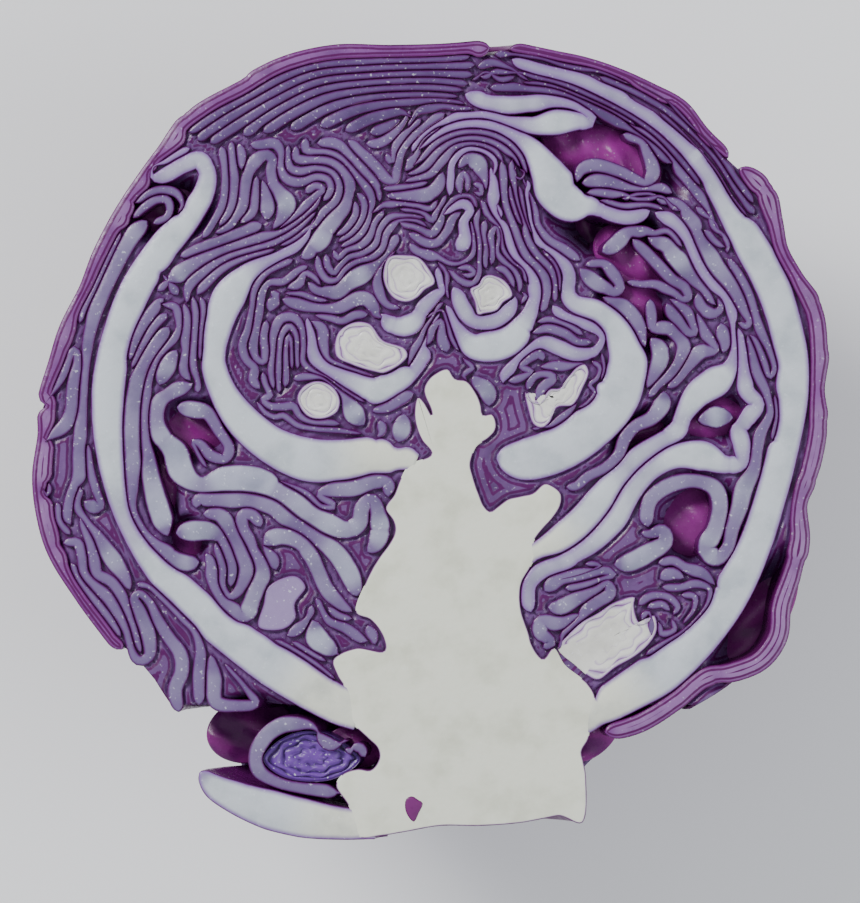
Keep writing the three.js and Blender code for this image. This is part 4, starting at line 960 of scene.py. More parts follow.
leaf("right_gap_leaf", None, [
    (68.4, 0, 0.6), (69.4, 4.6, 0.6), (69, 9, 0.5),
])
leaf("pocket_fold_1", "pocket_leaf", [
    (23.6, -33.4, 1.2), (26, -33.6, 1.2), (29.4, -31.6, 0.8), (33, -29.8, 0.6), (35.4, -28.4, 0.6),
    (36, -30.6, 0.7), (33.4, -32.4, 0.7), (30.6, -34.6, 0.6), (27, -38.6, 0.6), (25.6, -41.8, 0.4),
])
leaf("pocket_fold_2", None, [
    (22.6, -41.6, 0.9), (24.2, -40.6, 0.7), (22.2, -38.6, 1), (22.6, -36.4, 1.2), (27, -36.6, 1.1),
    (30.6, -34.8, 0.5),
])
leaf("pocket_fold_3", None, [
    (22.9, -30.2, 1), (24.8, -28.6, 0.9), (29.4, -27.2, 1), (34.6, -26, 1), (36.6, -26.8, 0.6),
    (32.4, -28.6, 0.6), (27, -29.6, 0.6),
])
leaf("pocket_fold_4", None, [
    (26, -27.9, 0.4), (30.4, -26.8, 0.4), (34, -25.2, 0.6), (31, -24.8, 0.6),
])
leaf("pocket_crinkle_1", None, [
    (41.6, -33, 0.5), (44.4, -31.2, 0.5), (47.6, -31.4, 0.5), (49.6, -33.4, 0.5), (48.6, -35, 0.4),
])
leaf("pocket_crinkle_2", None, [
    (43.4, -33.6, 0.5), (46.4, -32.8, 0.5), (48, -34.2, 0.4),
])
leaf("pocket_crinkle_3", None, [
    (46.4, -29.4, 0.5), (50, -29.6, 0.5), (53, -28.8, 0.6), (56, -29.8, 0.7), (55.6, -32.6, 0.7),
    (53.4, -35.6, 0.6), (50.4, -38.4, 0.6), (46.8, -40.6, 0.6), (43.2, -43, 0.6),
])
leaf("pocket_crinkle_4", None, [
    (45.6, -36.4, 0.6), (46.2, -38.8, 0.8), (49, -38, 0.7), (48.4, -35.8, 0.5),
])
leaf("pocket_crinkle_5", None, [
    (50.2, -31, 0.5), (53, -31.4, 0.6), (52.8, -34, 0.6), (50.6, -36.8, 0.5),
])
leaf("pocket_crinkle_6", None, [
    (45.6, -24.6, 0.5), (48.4, -24.2, 0.6), (51, -25.6, 0.6), (54.4, -26.6, 0.8), (57, -29, 0.6),
])
leaf("pocket_crinkle_7", None, [
    (46, -27.8, 0.8), (48.6, -26.6, 0.8), (50.8, -27.6, 0.5),
])
leaf("pocket_crinkle_8", None, [
    (42.4, -36, 0.5), (43.6, -34.4, 0.6), (44.6, -36.6, 0.6), (44.4, -39, 0.6),
])
leaf("arm_leaf_1", "arm_leaf_1", [
    (18, -23.6, 1.2), (22, -21.8, 1.7), (26.6, -19.4, 2.8), (31, -16.2, 3.2), (34.4, -12.6, 3.4),
    (38, -7.6, 2.6), (41.6, -3.6, 2.1), (46, -0.4, 1.6), (49.4, 1.6, 1.4), (50.8, 5, 1.7),
    (53.6, 9.2, 2.6), (57.6, 12, 3), (60.4, 14.6, 1.4), (61, 17.4, 0.9), (60.9, 21, 0.8),
    (60.3, 25, 0.9), (58.6, 28.6, 0.9), (56, 31.7, 0.8), (53.9, 35, 0.8), (52.4, 38.4, 0.8),
    (50.6, 42, 1.1), (47.6, 44.8, 1.2), (45, 45.6, 1),
])

# ---------------------------------------------------------------------------------------------------
# The arches over the heart and the flat layers at the top of the head, where leaf after leaf lies
# pressed on the next one.
leaf("wedge_leaf", "wedge_leaf", [
    (44, 45.9, 1.1), (39.6, 44.9, 1.2), (35.6, 45.9, 1.3), (32, 47.3, 2.4), (28.2, 47.7, 4),
    (25.2, 50.4, 4.2), (23, 54, 3.4), (20.6, 58, 2), (17, 61, 1.2), (12.6, 62.9, 1), (7, 63.3, 0.9),
    (3, 62.2, 0.8), (0, 60.2, 0.6), (-2.4, 58, 0.5),
])
leaf("lens_leaf", "lens_leaf", [
    (7, 69.2, 0.9), (10.4, 67.7, 1.5), (15, 67, 1.8), (20, 67.3, 1.6), (25, 67.6, 1), (29, 66.8, 0.9),
    (32, 64.2, 0.9), (29, 63.9, 1.9), (25, 63.5, 2.5), (20, 62.8, 1.5), (16, 63.6, 1.1), (11, 65, 0.9),
    (6, 64.6, 0.8), (2, 63, 0.7), (-1, 60.9, 0.7), (-3.6, 57.6, 0.8),
])
leaf("top_a", None, [
    (-48.4, 61.6, 0.7), (-42, 65.9), (-36, 69), (-30, 72.4), (-22, 75), (-12, 75.9), (0, 76.2),
    (8, 76.8, 0.6),
])
leaf("top_b", None, [
    (-46.6, 60, 0.6), (-40, 64.6), (-32, 69.2), (-24, 73), (-12, 74.3), (0, 74.8), (9, 75, 0.5),
])
leaf("top_c", "top_leaf_1", [
    (-44, 59.4, 0.6), (-38, 63.4), (-30, 68.2), (-22, 71.6), (-12, 72.9), (0, 73.3), (8.6, 73, 0.5),
])
leaf("top_d", None, [
    (-37.4, 61, 0.6), (-30, 66.2), (-22, 70.1), (-12, 71.5), (0, 71.9), (7.6, 71.2, 0.5),
])
leaf("top_e", None, [
    (-33.4, 61.6, 0.6), (-28, 65), (-20, 68.6), (-12, 70), (0, 70.5), (6.6, 69.9, 0.5),
])
leaf("top_f", None, [
    (-28, 62.2, 0.6), (-20, 66.7), (-12, 68.6), (-2, 69.1), (5.6, 68.7, 0.5),
])
leaf("top_g", None, [
    (-22, 62.8, 0.6), (-14, 66.4), (-6, 67.6), (2, 68), (7, 67.2, 0.5),
])
leaf("top_h", None, [
    (-17, 61.8, 0.6), (-11, 64.6), (-6, 65.6), (-3.4, 64.4, 0.5),
])
leaf("top_i", None, [
    (-4.4, 62.6, 0.5), (-2.4, 65.6, 0.6), (2, 66.9, 0.6), (8.6, 66.2, 0.6),
])
leaf("top_j", None, [
    (-12, 61.4, 0.6), (-8.4, 62.6, 0.6), (-5.8, 64, 0.5),
])
leaf("top_right_a", None, [
    (13, 77.2, 0.6), (20, 76.9, 0.6), (27, 75.2, 0.6), (34, 73.8, 0.6), (40, 71.2, 0.5),
])
leaf("top_right_b", "top_leaf_4", [
    (34, 72.7, 0.6), (40, 70.3), (46, 66.9), (52, 61.8), (57, 56.2), (61, 50), (64.8, 45.2, 1),
])
leaf("top_right_c", None, [
    (42, 71, 0.5), (48, 67.4, 0.6), (53.4, 61.8), (57.4, 57.8), (61.4, 52), (64.6, 47.4, 0.6),
])
leaf("top_right_d", None, [
    (46, 65.4, 0.5), (52, 59.9, 0.5), (57, 54.2, 0.6), (60.6, 48.4, 0.6), (63.4, 44.8, 0.5),
])
leaf("top_right_e", "top_leaf_2", [
    (10, 72.8, 0.6), (16, 73.6, 0.5), (22, 72.4, 0.6), (28, 70.7, 0.7), (34, 67.9), (40, 64.9),
    (45, 61.4, 0.7), (50, 56.2, 0.7), (54, 51, 0.7),
])
leaf("top_right_f", None, [
    (12, 70.4, 0.6), (20, 70.4, 0.7), (27, 69.4, 0.7), (33, 66.6, 0.9), (38, 63.9, 0.9), (42, 61, 0.9),
    (45.8, 58.2, 0.8), (48.4, 55.4, 0.6),
])
leaf("top_right_g", None, [
    (18.6, 71.6, 0.5), (24, 70.9, 0.6), (30, 68.6, 0.6), (36, 66, 0.6), (41, 62.9, 0.6),
])
leaf("top_crumple_1", None, [
    (9.4, 74.6, 0.5), (12.4, 75.6, 0.5), (15.4, 74.6, 0.5), (18.2, 73, 0.5), (19.8, 71.8, 0.4),
])
leaf("top_crumple_2", None, [
    (8.4, 72, 0.4), (11.4, 73.4, 0.4), (14.4, 72.2, 0.5), (17, 72.8, 0.4),
])
leaf("pocket_leaf_1", None, [
    (29.4, 51.6, 0.8), (30.2, 54, 0.9), (33, 54.9, 0.8), (38, 53.4, 0.8), (43.2, 51, 0.8),
    (44.6, 53.2, 0.8), (43.8, 57, 0.7), (42.6, 60, 0.7), (38.6, 61.2, 0.7),
])
leaf("pocket_leaf_2", None, [
    (30.4, 51.4, 1), (35, 51.6, 1.1), (40, 50.4, 1), (45.4, 50.2, 0.9), (48.4, 49.4, 0.6),
])
leaf("pocket_leaf_3", None, [
    (31.4, 49.4, 0.9), (36, 49.2, 1), (42, 48.4, 1), (46, 48.6, 0.9), (50, 45.9, 0.9),
])
leaf("pocket_leaf_4", None, [
    (34, 47.9, 0.7), (38.4, 46.9, 0.9), (43, 47, 0.8), (46.6, 46, 0.6),
])
leaf("arch_1", "arch_leaf_1", [
    (-3.4, 54.8, 0.6), (-1, 57.2, 0.6), (2, 59.8, 0.6), (6, 61.4, 0.6), (11, 61.5, 0.6),
    (15, 59.9, 0.6), (17.9, 57, 0.6), (19.4, 53.4, 0.6),
])
leaf("arch_2", None, [
    (-4.6, 53.2, 0.5), (-1, 54.9, 0.6), (1.6, 57.8, 0.6), (5, 59.9, 0.6), (9, 60.4, 0.6),
    (13.4, 59.2, 0.6), (16.4, 57, 0.6), (18, 54.6, 0.5),
])
leaf("arch_3", None, [
    (-5, 51.6, 0.5), (0, 52.9, 0.6), (2.6, 55.9, 0.6), (5, 58.6, 0.5), (9, 59.2, 0.5),
    (12.8, 57.9, 0.5), (14.8, 55.4, 0.5),
])
leaf("arch_4", "arch_leaf_2", [
    (3.8, 48.8, 0.5), (4, 52.4, 0.6), (4.8, 55.6, 0.6), (7.6, 58.2, 0.6), (10.8, 57.8, 0.5),
    (13, 55.8, 0.5), (12.4, 52, 0.6), (12.8, 48.4, 0.8), (14.2, 44.4, 0.9),
])
leaf("arch_knob", None, [
    (5.6, 54.4, 0.6), (7.4, 56.4, 0.9), (9.8, 55.4, 1.6), (11.2, 53, 0.9), (11.2, 50, 0.6),
])
leaf("arch_5", None, [
    (6.2, 49, 0.4), (5.8, 51.6, 0.5), (6.7, 53.4, 0.5), (7.6, 52, 0.4), (7.4, 49.6, 0.4),
])
leaf("arch_6", None, [
    (8.6, 51.2, 0.5), (10.4, 50.8, 0.5), (10.2, 49, 0.5), (8.8, 49.6, 0.4),
])
leaf("arch_curl", None, [
    (17.2, 54.9, 0.5), (16.8, 53, 0.5), (18.2, 52.2, 0.5), (18.9, 53.6, 0.4), (18, 54.2, 0.3),
])
leaf("column_1", None, [
    (16, 51, 0.6), (16.2, 49, 0.8), (17, 46.4, 0.8), (18.4, 43, 0.6),
])
leaf("column_2", None, [
    (17.8, 50.8, 0.7), (18.4, 47.6, 0.9), (19.2, 44.4, 0.7), (20.4, 41.4, 0.5),
])
leaf("heart_knob", "heart_leaf", [
    (2.6, 45, 0.6), (4.6, 46.6, 0.9), (7, 47.3, 1.2), (8.2, 46, 0.9), (7.2, 43.8, 0.9),
    (7.4, 40.4, 1.3), (5.4, 38, 2.2),
])
leaf("heart_1", None, [
    (-4.2, 41.4, 0.6), (-1.4, 39.6, 0.6), (1.4, 39.4, 0.6), (3.4, 41.6, 0.6), (4.4, 44.4, 0.6),
    (6.2, 45.6, 0.5),
])
leaf("heart_2", None, [
    (-6, 43.6, 0.6), (-1.6, 42.4, 0.6), (0.4, 41.4, 0.6), (2, 43.8, 0.7), (3.4, 46.6, 0.6),
    (6, 48.8, 0.5), (8.2, 48.6, 0.5), (9.4, 46.4, 0.6),
])
leaf("heart_3", None, [
    (-6, 46.2, 0.6), (-1.6, 45.4, 0.6), (0.4, 43.9, 0.6), (1.6, 46.2, 0.6), (3.4, 49, 0.5),
])
leaf("heart_4", None, [
    (-4, 39.4, 0.6), (-2.6, 37.8, 0.6), (0.6, 36.7, 0.7), (4, 35.4, 0.6), (6, 35.4, 0.5),
    (8.4, 37.2, 0.5), (8.6, 40.4, 0.5), (8.2, 43.8, 0.5),
])

# ---------------------------------------------------------------------------------------------------
# The packing: every leaf takes the room up to its neighbours, less a hair's gap. Its section gets a
# purple skin on both sides, and is swept down into the head.
GAP = 0.17
leaf_flesh = cut_material(
    "leaf_flesh", (0.085, 0.003, 0.09), (0.11, 0.03, 0.17), (0.165, 0.11, 0.25), (0.38, 0.39, 0.50),
    0.75, 0.4,
)
cap_flesh = cut_material(
    "cap_flesh", (0.07, 0.003, 0.07), (0.09, 0.02, 0.14), (0.115, 0.065, 0.185), (0.28, 0.27, 0.38),
    0.75, 0.4,
)
rib_flesh = cut_material(
    "rib_flesh", (0.10, 0.004, 0.11), (0.24, 0.13, 0.38), (0.30, 0.25, 0.41), (0.56, 0.60, 0.64), 1.3, 0.2,
)
rim_flesh = cut_material(
    "rim_flesh", (0.09, 0.003, 0.085), (0.15, 0.015, 0.16), (0.20, 0.06, 0.25), (0.33, 0.19, 0.39), 0.9, 0.2,
    layers=1.25,
)
RIBS = {
    "thick_leaf_right", "thick_leaf_left", "inner_leaf_right", "inner_leaf_left", "wedge_leaf",
    "lens_leaf", "arm_leaf_1", "arm_leaf_2", "cup_leaf", "cup_leaf_inner", "bud_leaf_left",
    "bud_leaf_centre", "heart_knob", "base_leaf", "arch_4", "rib_leaf_mid",
}
ROOTED = {"thick_leaf_left", "thick_leaf_right", "arm_leaf_1", "base_leaf", "inner_leaf_left"}
centre = np.vstack([item["points"][:, :2] for item in leaves])
nominal = np.concatenate([item["points"][:, 2] for item in leaves])
owner = np.concatenate([np.full(len(item["points"]), k) for k, item in enumerate(leaves)])
along = np.concatenate([np.arange(len(item["points"])) * STEP for item in leaves])
tangent = np.vstack([np.gradient(item["points"][:, :2], axis=0) for item in leaves])
tangent /= np.linalg.norm(tangent, axis=1)[:, None] + 1e-9
normal = np.stack([-tangent[:, 1], tangent[:, 0]], axis=1)
walls = np.vstack(solids)
widest = np.where(nominal > 1.5, nominal * 1.1, nominal + np.minimum(nominal, 0.75))
rooted = np.isin(owner, [k for k, item in enumerate(leaves) if item["name"] in ROOTED]) & (along < 5)
room = [widest.copy(), widest.copy()]
for start in range(0, len(centre), 300):
    b = slice(start, start + 300)
    away = centre[None] - centre[b, None]
    squared = np.sum(away**2, axis=2)
    same = (owner[None] == owner[b, None]) & (
        np.abs(along[None] - along[b, None]) < 1.2 + 2.4 * nominal[b, None]
    )
    ratio = (nominal[None] / nominal[b, None]) ** 2
    to_wall = walls[None] - centre[b, None]
    wall_squared = np.sum(to_wall**2, axis=2)
    for side, sign in ((0, 1.0), (1, -1.0)):
        ahead = sign * np.einsum("ijk,ik->ij", away, normal[b])
        inner = ahead**2 - (1 - ratio) * squared
        gap = 1 - ratio
        with np.errstate(all="ignore"):
            reach = np.where(
                np.abs(gap) < 2e-3,
                squared / (2 * ahead),
                (ahead - np.sqrt(np.maximum(inner, 0))) / gap,
            )
        bad = same | (inner < 0) | ~(reach > 0) | (squared > 150) | ((np.abs(gap) < 2e-3) & (ahead <= 0))
        reach = np.where(bad, 1e3, reach)
        room[side][b] = np.minimum(room[side][b], reach.min(axis=1) - GAP / 2)
        ahead = sign * np.einsum("ijk,ik->ij", to_wall, normal[b])
        off = wall_squared - ahead**2
        hit = np.where((ahead > 0) & (off < 0.25) & ~rooted[b, None], ahead - GAP, 1e3)
        room[side][b] = np.minimum(room[side][b], hit.min(axis=1))

edges = list(solids)
for k, item in enumerate(leaves):
    mine = owner == k
    mid, side_way, half = centre[mine], normal[mine], nominal[mine]
    count = len(mid)
    turn = np.gradient(np.unwrap(np.arctan2(tangent[mine][:, 1], tangent[mine][:, 0]))) / STEP
    widths = []
    for side, sign in ((0, 1.0), (1, -1.0)):
        w = np.maximum(room[side][mine], 0.14)
        bend = np.maximum(sign * turn, 1e-6)
        w = np.minimum(w, np.maximum(0.92 / bend, 0.2))
        padded = np.pad(w, 2, mode="edge")
        w = np.minimum(np.convolve(padded, (0.15, 0.22, 0.26, 0.22, 0.15), mode="valid"), w + 0.12)
        from_end = np.minimum(np.arange(count), np.arange(count)[::-1]) * STEP
        if item["name"] in ROOTED:
            from_end = (count - 1 - np.arange(count)) * STEP
        tip = np.clip(from_end / np.maximum(1.7 * w, 1.5), 0, 1)
        widths.append(w * np.sqrt(np.maximum(1 - (1 - tip) ** 2, 0.02)))
    left, right = widths
    total = left + right
    edges += [mid + side_way * left[:, None], mid - side_way * right[:, None]]
    lift = rng.uniform(-0.22, 0.22) + 0.1 * np.sin(np.arange(count) * STEP / 2.3 + k)
    if item["name"] in ROOTED:
        lift = -0.1 + 0 * lift
    skin = np.minimum(0.24, total * 0.28)
    columns = (
        (left, -0.2, 0.0),
        (left - skin, 0.0, 1.0),
        ((left - right) / 2, 0.04, 2.0),
        (skin - right, 0.0, 1.0),
        (-right, -0.2, 0.0),
    )
    rows, insides = [], []
    for offset, raised, level in columns:
        edge = mid + side_way * offset[:, None]
        rows.append(swept(edge, 0) + np.stack([0 * half, 0 * half, (lift + raised) / 1000], axis=1))
        insides.append({0.0: 0 * half, 1.0: skin, 2.0: total / 2}[level])
    reach = item["reach"]
    if item["name"].startswith(("outer", "thick", "top")):
        reach = (1.5, 6, 14, 26, 40, 52, 63)
    for degrees in reach:
        rows.append(swept(mid - side_way * right[:, None], degrees))
        insides.append(0 * half)
    for degrees in reversed(reach):
        rows.append(swept(mid + side_way * left[:, None], degrees))
        insides.append(0 * half)
    ring = len(rows)
    points = np.stack(rows, axis=1).reshape(-1, 3)
    inside = np.stack(insides, axis=1).reshape(-1)
    faces = []
    for i in range(count - 1):
        for r in range(ring):
            s = (r + 1) % ring
            faces.append((i * ring + r, i * ring + s, (i + 1) * ring + s, (i + 1) * ring + r))
    faces.append(tuple(range(ring)))
    faces.append(tuple((count - 1) * ring + r for r in reversed(range(ring))))
    thickness = total / 2
    if item["name"] in ROOTED:
        thickness = thickness + 8 * np.clip(1.3 - np.arange(count) * STEP / 16, 0, 1)
    thickness = np.repeat(thickness, ring)
    name = item["name"]
    if name.startswith("outer"):
        material, slot = rim_flesh, "outer_leaf"
    elif name in RIBS:
        material, slot = rib_flesh, "rib"
    elif name.startswith("top"):
        material, slot = cap_flesh, "leaf"
    else:
        material, slot = leaf_flesh, "leaf"
    finish_piece(name, points, faces, inside, thickness, material, item["node"])

# ---------------------------------------------------------------------------------------------------
# The blades in the hollows: where two leaves stand apart, the puckered face of the next leaf shows
# below the cut, magenta and glossy.
blade_skin = cut_material(
    "blade_skin", (0.11, 0.005, 0.11), (0.22, 0.012, 0.19), (0.32, 0.04, 0.29), (0.36, 0.07, 0.34),
    2.0, 0.15, (0.18, 0.4),
)


hollows = []


def blade(name, x, y, reach_x, reach_y, turn, depth, crown, puckers, tone_and_depth_shade=0.3):
    """A domed, puckered patch of leaf below the cut face, at a depth in millimetres. Its colour holds
    painted light: the tone is partly the blade's own colour and partly painted shade, set lower for the
    deeper blades, and the crests of the puckers are painted lighter and their troughs darker.
    """
    hollows.append((x, y, reach_x, reach_y, turn, depth + 1.2))
    rings, spokes = 22, 60
    points, inside = [], []
    for r in range(1, rings + 1):
        f = r / rings
        for s in range(spokes):
            a = 2 * math.pi * s / spokes
            u, v = f * math.cos(a) * reach_x, f * math.sin(a) * reach_y
            ridge = 0.5 * math.sin(u * puckers + 1.3 * math.sin(v * 0.5)) * math.cos(v * puckers * 0.6)
            z = HEIGHT - depth + crown * (1 - f * f) + ridge
            px = x + u * math.cos(turn) - v * math.sin(turn)
            py = y + u * math.sin(turn) + v * math.cos(turn)
            points.append((px, py, z))
            # Painted highlight and shade: the ridge height paints the crests lighter and the troughs darker.
            # The tone is set lower for the deeper blades as painted shade of the hollow.
            inside.append(tone_and_depth_shade + 0.5 * ridge)
    top = len(points)
    points += [(p[0], p[1], p[2] - 0.8) for p in points]
    inside += [0.0] * top
    faces = []
    for r in range(rings - 1):
        for s in range(spokes):
            t = (s + 1) % spokes
            a, b, c, d = r * spokes + s, r * spokes + t, (r + 1) * spokes + t, (r + 1) * spokes + s
            faces.append((a, d, c, b))
            faces.append((a + top, b + top, c + top, d + top))
    faces.append(tuple(range(spokes)))
    faces.append(tuple(top + s for s in reversed(range(spokes))))
    rim = (rings - 1) * spokes
    for s in range(spokes):
        t = (s + 1) % spokes
        faces.append((rim + s, rim + top + s, rim + top + t, rim + t))
    values = np.array(inside)
    return finish_piece(
        name, np.array(points) / 1000, faces, values, values * 0 + 1.2, blade_skin, None,
    )


# The last number is the tone: partly the blade's own colour, and partly painted shade, since it is lower for
# the deeper blades.
blade("blade_top_right", 36, 57, 15, 7, -0.45, 6.5, 3.4, 0.9, 0.6)
blade("blade_top_right_2", 25, 58, 12, 6, -0.7, 11, 1.5, 0.8, 0.2)
blade("blade_right_upper", 41, 36.5, 9, 6, -0.6, 6, 3.2, 0.8, 0.5)
blade("blade_right_dark", 36, 42, 12, 6, -0.5, 13, 1.5, 0.8, 0.1)
blade("blade_right_mid", 41, 26.5, 7, 10, 0.35, 5.4, 2.8, 0.7, 0.6)
blade("blade_right_bulb", 56.6, 4.6, 8, 5, 0.1, 5, 3.2, 0.6, 0.8)
blade("blade_right_low", 53.4, -16.6, 8, 9, -0.25, 7.4, 3.4, 0.6, 0.7)
blade("blade_right_arm", 42.6, 0.6, 7, 4.4, 0.75, 6.4, 1.4, 0.7, 0.3)
blade("blade_rim_low", 66, -36, 14, 6, 1.05, 11, 2.5, 0.5, 0.4)
blade("blade_left_rim", -53.6, -9, 3.4, 9, 0.1, 6, 1.5, 0.8, 0.3)
blade("blade_left_mid", -47, 2, 8, 6, 0.0, 6, 1.8, 0.8, 0.5)
blade("blade_left_top", -52, 46, 8, 6, 0.3, 7, 2, 0.9, 0.5)
blade("blade_left_low", -36.5, -59, 9, 6.6, 0.2, 15, 2, 0.6, 0.1)
blade("blade_stem_left", -15.5, -62, 6, 4.6, 0.0, 6, 1, 0.8, 0.2)
blade("blade_stem_right", 33, -59.8, 6.4, 3.6, 0.75, 8, 1.6, 0.6, 0.2)
blade("blade_left_fold", -49, -20, 4, 5, 0.3, 6, 2, 0.7, 0.3)


def sheet_faces(columns, rows):
    """Faces of a closed sheet: a grid of points, then as many again for its other side."""
    width, top = columns + 1, (columns + 1) * (rows + 1)
    faces = []
    for j in range(rows):
        for i in range(columns):
            a = j * width + i
            faces.append((a, a + 1, a + width + 1, a + width))
            faces.append((top + a, top + a + width, top + a + width + 1, top + a + 1))
    border = list(range(width)) + [j * width + columns for j in range(1, rows + 1)]
    border += [rows * width + i for i in range(columns - 1, -1, -1)]
    border += [j * width for j in range(rows - 1, 0, -1)]
    for a, b in zip(border, border[1:] + border[:1]):
        faces.append((b, a, top + a, top + b))
    return faces


def bed(name, margin, level):
    """The lower layers, just under the cut in every chink: more skins and thin leaves that follow the
    ones beside them. They are close to the face in a wide chink, and dip away in the hollows."""
    columns, rows = 210, 180
    x = np.linspace(0, 1, columns + 1)[None]
    y = np.linspace(-53, 77, rows + 1)[:, None]
    x = -left_half_width(y) + margin + x * (left_half_width(y) + right_half_width(y) - 2 * margin)
    place = np.stack([x, y + 0 * x], axis=2).reshape(-1, 2)
    brink = np.vstack(edges)
    clear = np.full(len(place), 1e3)
    for start in range(0, len(place), 400):
        part = place[start:start + 400]
        squared = np.min(np.sum((part[:, None] - brink[None]) ** 2, axis=2), axis=1)
        clear[start:start + 400] = np.sqrt(squared)
    deep = level - (level - 0.4) * np.clip((clear - 0.4) / 0.5, 0, 1)
    deep += 0.16 * np.cos(2 * math.pi * clear / LAYER)
    for hx, hy, rx, ry, turn, depth in hollows:
        u = (place[:, 0] - hx) * math.cos(turn) + (place[:, 1] - hy) * math.sin(turn)
        v = (place[:, 1] - hy) * math.cos(turn) - (place[:, 0] - hx) * math.sin(turn)
        deep = np.maximum(deep, depth * np.exp(-(((u / rx) ** 2 + (v / ry) ** 2) ** 2)))
    points = np.column_stack([place, HEIGHT - deep]).tolist()
    inside = clear.tolist()
    points += [(p[0], p[1], p[2] - 0.8) for p in points]
    faces = sheet_faces(columns, rows)
    values = np.array(inside + inside)
    return finish_piece(name, np.array(points) / 1000, faces, values, values * 0 + 1.2, layer_flesh)


LAYER = 1.5
layer_flesh = cut_material(
    "layer_flesh", (0.08, 0.003, 0.085), (0.09, 0.015, 0.12), (0.14, 0.065, 0.20), (0.14, 0.065, 0.20), 0.9,
    0.3, layers=LAYER,
)
bed("lower_layers", 2.6, 1.1)

# ---------------------------------------------------------------------------------------------------
# The back leaf: the outermost one, wrapped round the back of the head. It is waxy and dusty purple,
# with a pale midrib and veins that branch from it, and the head rests on its flattened middle.
LEAF_FROM, LEAF_TO = -70.0, 73.0
back_skin = cut_material(
    "back_skin", (0.34, 0.22, 0.42), (0.16, 0.06, 0.22), (0.075, 0.02, 0.12), (0.075, 0.02, 0.12),
    0.9, 0.1, (0.3, 0.5),
)


def back_point(across, y, offset):
    """A point of the wrapped leaf, across it from 0 at the right margin to 1 at the left one."""
    start = 36 + 5 * math.sin(y / 9) + 12 * abs(y / 80) ** 3 + 1.2 * math.sin(y / 2.3)
    angle = math.radians(start + (180 - 2 * start) * across)
    half_width = right_half_width(y) if math.cos(angle) > 0 else left_half_width(y)
    drop = (back_depth(y) + offset) * math.sin(angle)
    return (half_width + offset) * math.cos(angle), y, max(HEIGHT - drop, 0.0)


def vein_strength(across, y):
    """1 on a vein, 0 between the veins."""
    x = (across - 0.5) * 150
    run = (y + 78) / 150
    midrib = max(0.0, 1 - abs(x) / (4.6 * (1.15 - run))) ** 0.7
    rising = (y + 78) - 0.75 * abs(x) - 0.004 * x * x + 3 * math.sin(x / 17)
    spacing = 17.0
    off = abs((rising + (6 if x > 0 else 0)) / spacing % 1 - 0.5) * spacing
    width = max(0.5, 1.7 - abs(x) / 60)
    side = max(0.0, 1 - (spacing / 2 - off) / width) * (0.85 if abs(x) > 2 else 0)
    twig = rising * 0.6 + 1.9 * abs(x) + 4 * math.sin(y / 11)
    fine = max(0.0, 1 - abs(twig / 8.5 % 1 - 0.5) * 8.5 / 0.7) * 0.4
    return max(midrib, side, fine)


across_count, along_count = 200, 190
grid = []
vein_values = []
for j in range(along_count + 1):
    y = LEAF_FROM + (LEAF_TO - LEAF_FROM) * j / along_count
    for i in range(across_count + 1):
        f = i / across_count
        vein = vein_strength(f, y)
        edge = min(f, 1 - f) * 2
        lift = 3.1 + 1.1 * vein + 0.35 * math.sin(y / 5 + f * 23) - 1.6 * max(0, 1 - edge * 9)
        grid.append(back_point(f, y, lift + 0.9))
        vein_values.append(vein)
under = [back_point(i / across_count, LEAF_FROM + (LEAF_TO - LEAF_FROM) * j / along_count, 0.9)
         for j in range(along_count + 1) for i in range(across_count + 1)]
inside = np.array([0.9 * (1 - v) + 0.02 for v in vein_values] + [1.0] * len(under))
back_leaf = finish_piece(
    "back_leaf", np.array(grid + under) / 1000, sheet_faces(across_count, along_count), inside,
    inside * 0 + 1.0, back_skin, "back_leaf",
)


def wrap_point(across, y, offset):
    """A point of the last whole layer inside the outside leaves."""
    angle = math.radians(4 + 172 * across)
    half_width = right_half_width(y) if math.cos(angle) > 0 else left_half_width(y)
    drop = (back_depth(y) + offset) * math.sin(angle)
    return (half_width + offset) * math.cos(angle), y, HEIGHT - drop


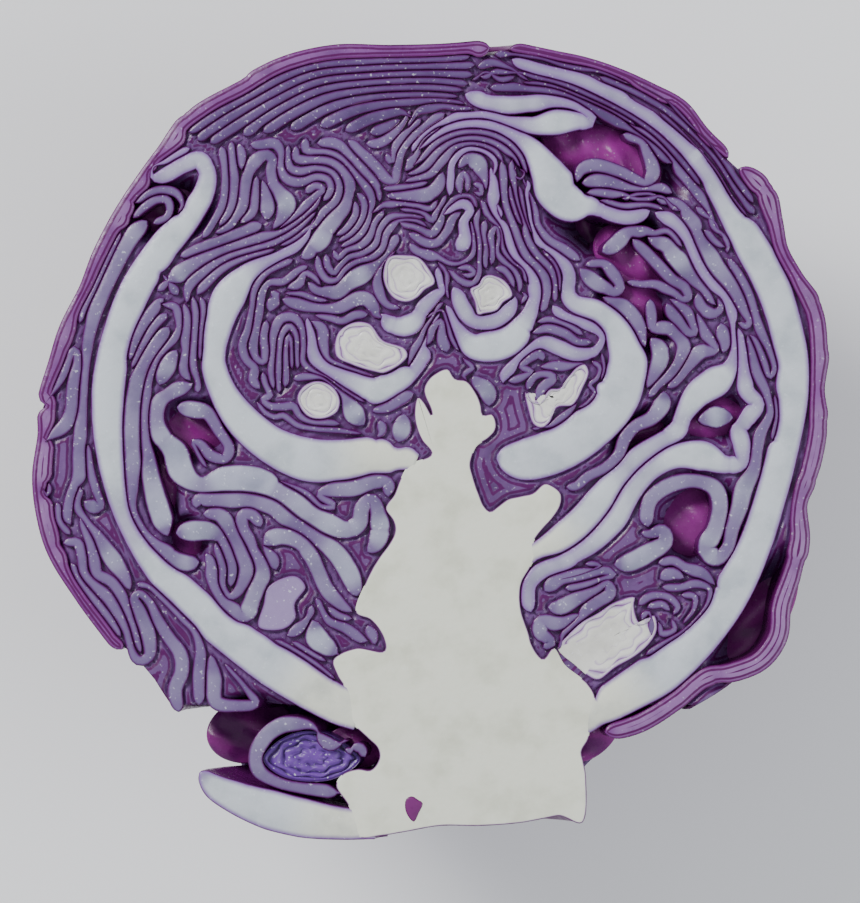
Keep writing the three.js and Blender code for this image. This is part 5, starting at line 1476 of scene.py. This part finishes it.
# Behind the gaps between the outside leaves, the next layer of the head shows.
columns, rows = 100, 90
cells = [(i / columns, -54 + 131 * j / rows) for j in range(rows + 1) for i in range(columns + 1)]
outer = [wrap_point(f, y, -2.2 + 0.3 * math.sin(y / 3 + 19 * f)) for f, y in cells]
inner = [wrap_point(f, y, -3.4) for f, y in cells]
flat = np.ones(2 * len(outer))
finish_piece(
    "inner_wrap", np.array(outer + inner) / 1000, sheet_faces(columns, rows), 0.9 * flat, flat,
    rim_flesh, None,
)

# ---------------------------------------------------------------------------------------------------
# The studio: a pale floor, soft cool light from the upper left, and a camera straight above.
bpy.ops.mesh.primitive_plane_add(size=6, location=(0, 0, -0.0002))
floor = bpy.context.object
floor.name = "floor"
pale = bpy.data.materials.new("floor_paint")
pale.use_nodes = True
pale.node_tree.nodes["Principled BSDF"].inputs["Base Color"].default_value = (0.9, 0.9, 0.9, 1)
pale.node_tree.nodes["Principled BSDF"].inputs["Roughness"].default_value = 0.8
floor.data.materials.append(pale)


def lamp(name, place, size, power, colour):
    light = bpy.data.lights.new(name, "AREA")
    light.size = size
    light.energy = power
    light.color = colour
    obj = bpy.data.objects.new(name, light)
    obj.location = place
    aim = -obj.location
    obj.rotation_euler = aim.to_track_quat("-Z", "Y").to_euler()
    bpy.context.scene.collection.objects.link(obj)


lamp("key", (-0.95, 0.8, 1.1), 0.6, 27, (1.0, 1.0, 1.0))
lamp("fill", (1.1, -0.3, 0.9), 0.9, 9, (0.93, 0.96, 1.0))
world = bpy.data.worlds.new("studio")
world.use_nodes = True
world.node_tree.nodes["Background"].inputs["Color"].default_value = (0.9, 0.93, 1.0, 1)
world.node_tree.nodes["Background"].inputs["Strength"].default_value = 0.6
bpy.context.scene.world = world

camera = bpy.data.cameras.new("camera")
camera.lens = 179.4
camera.sensor_width = 36
camera.clip_end = 10
eye = bpy.data.objects.new("camera", camera)
eye.location = (0, -0.0023, 0.977)
bpy.context.scene.collection.objects.link(eye)
bpy.context.scene.camera = eye
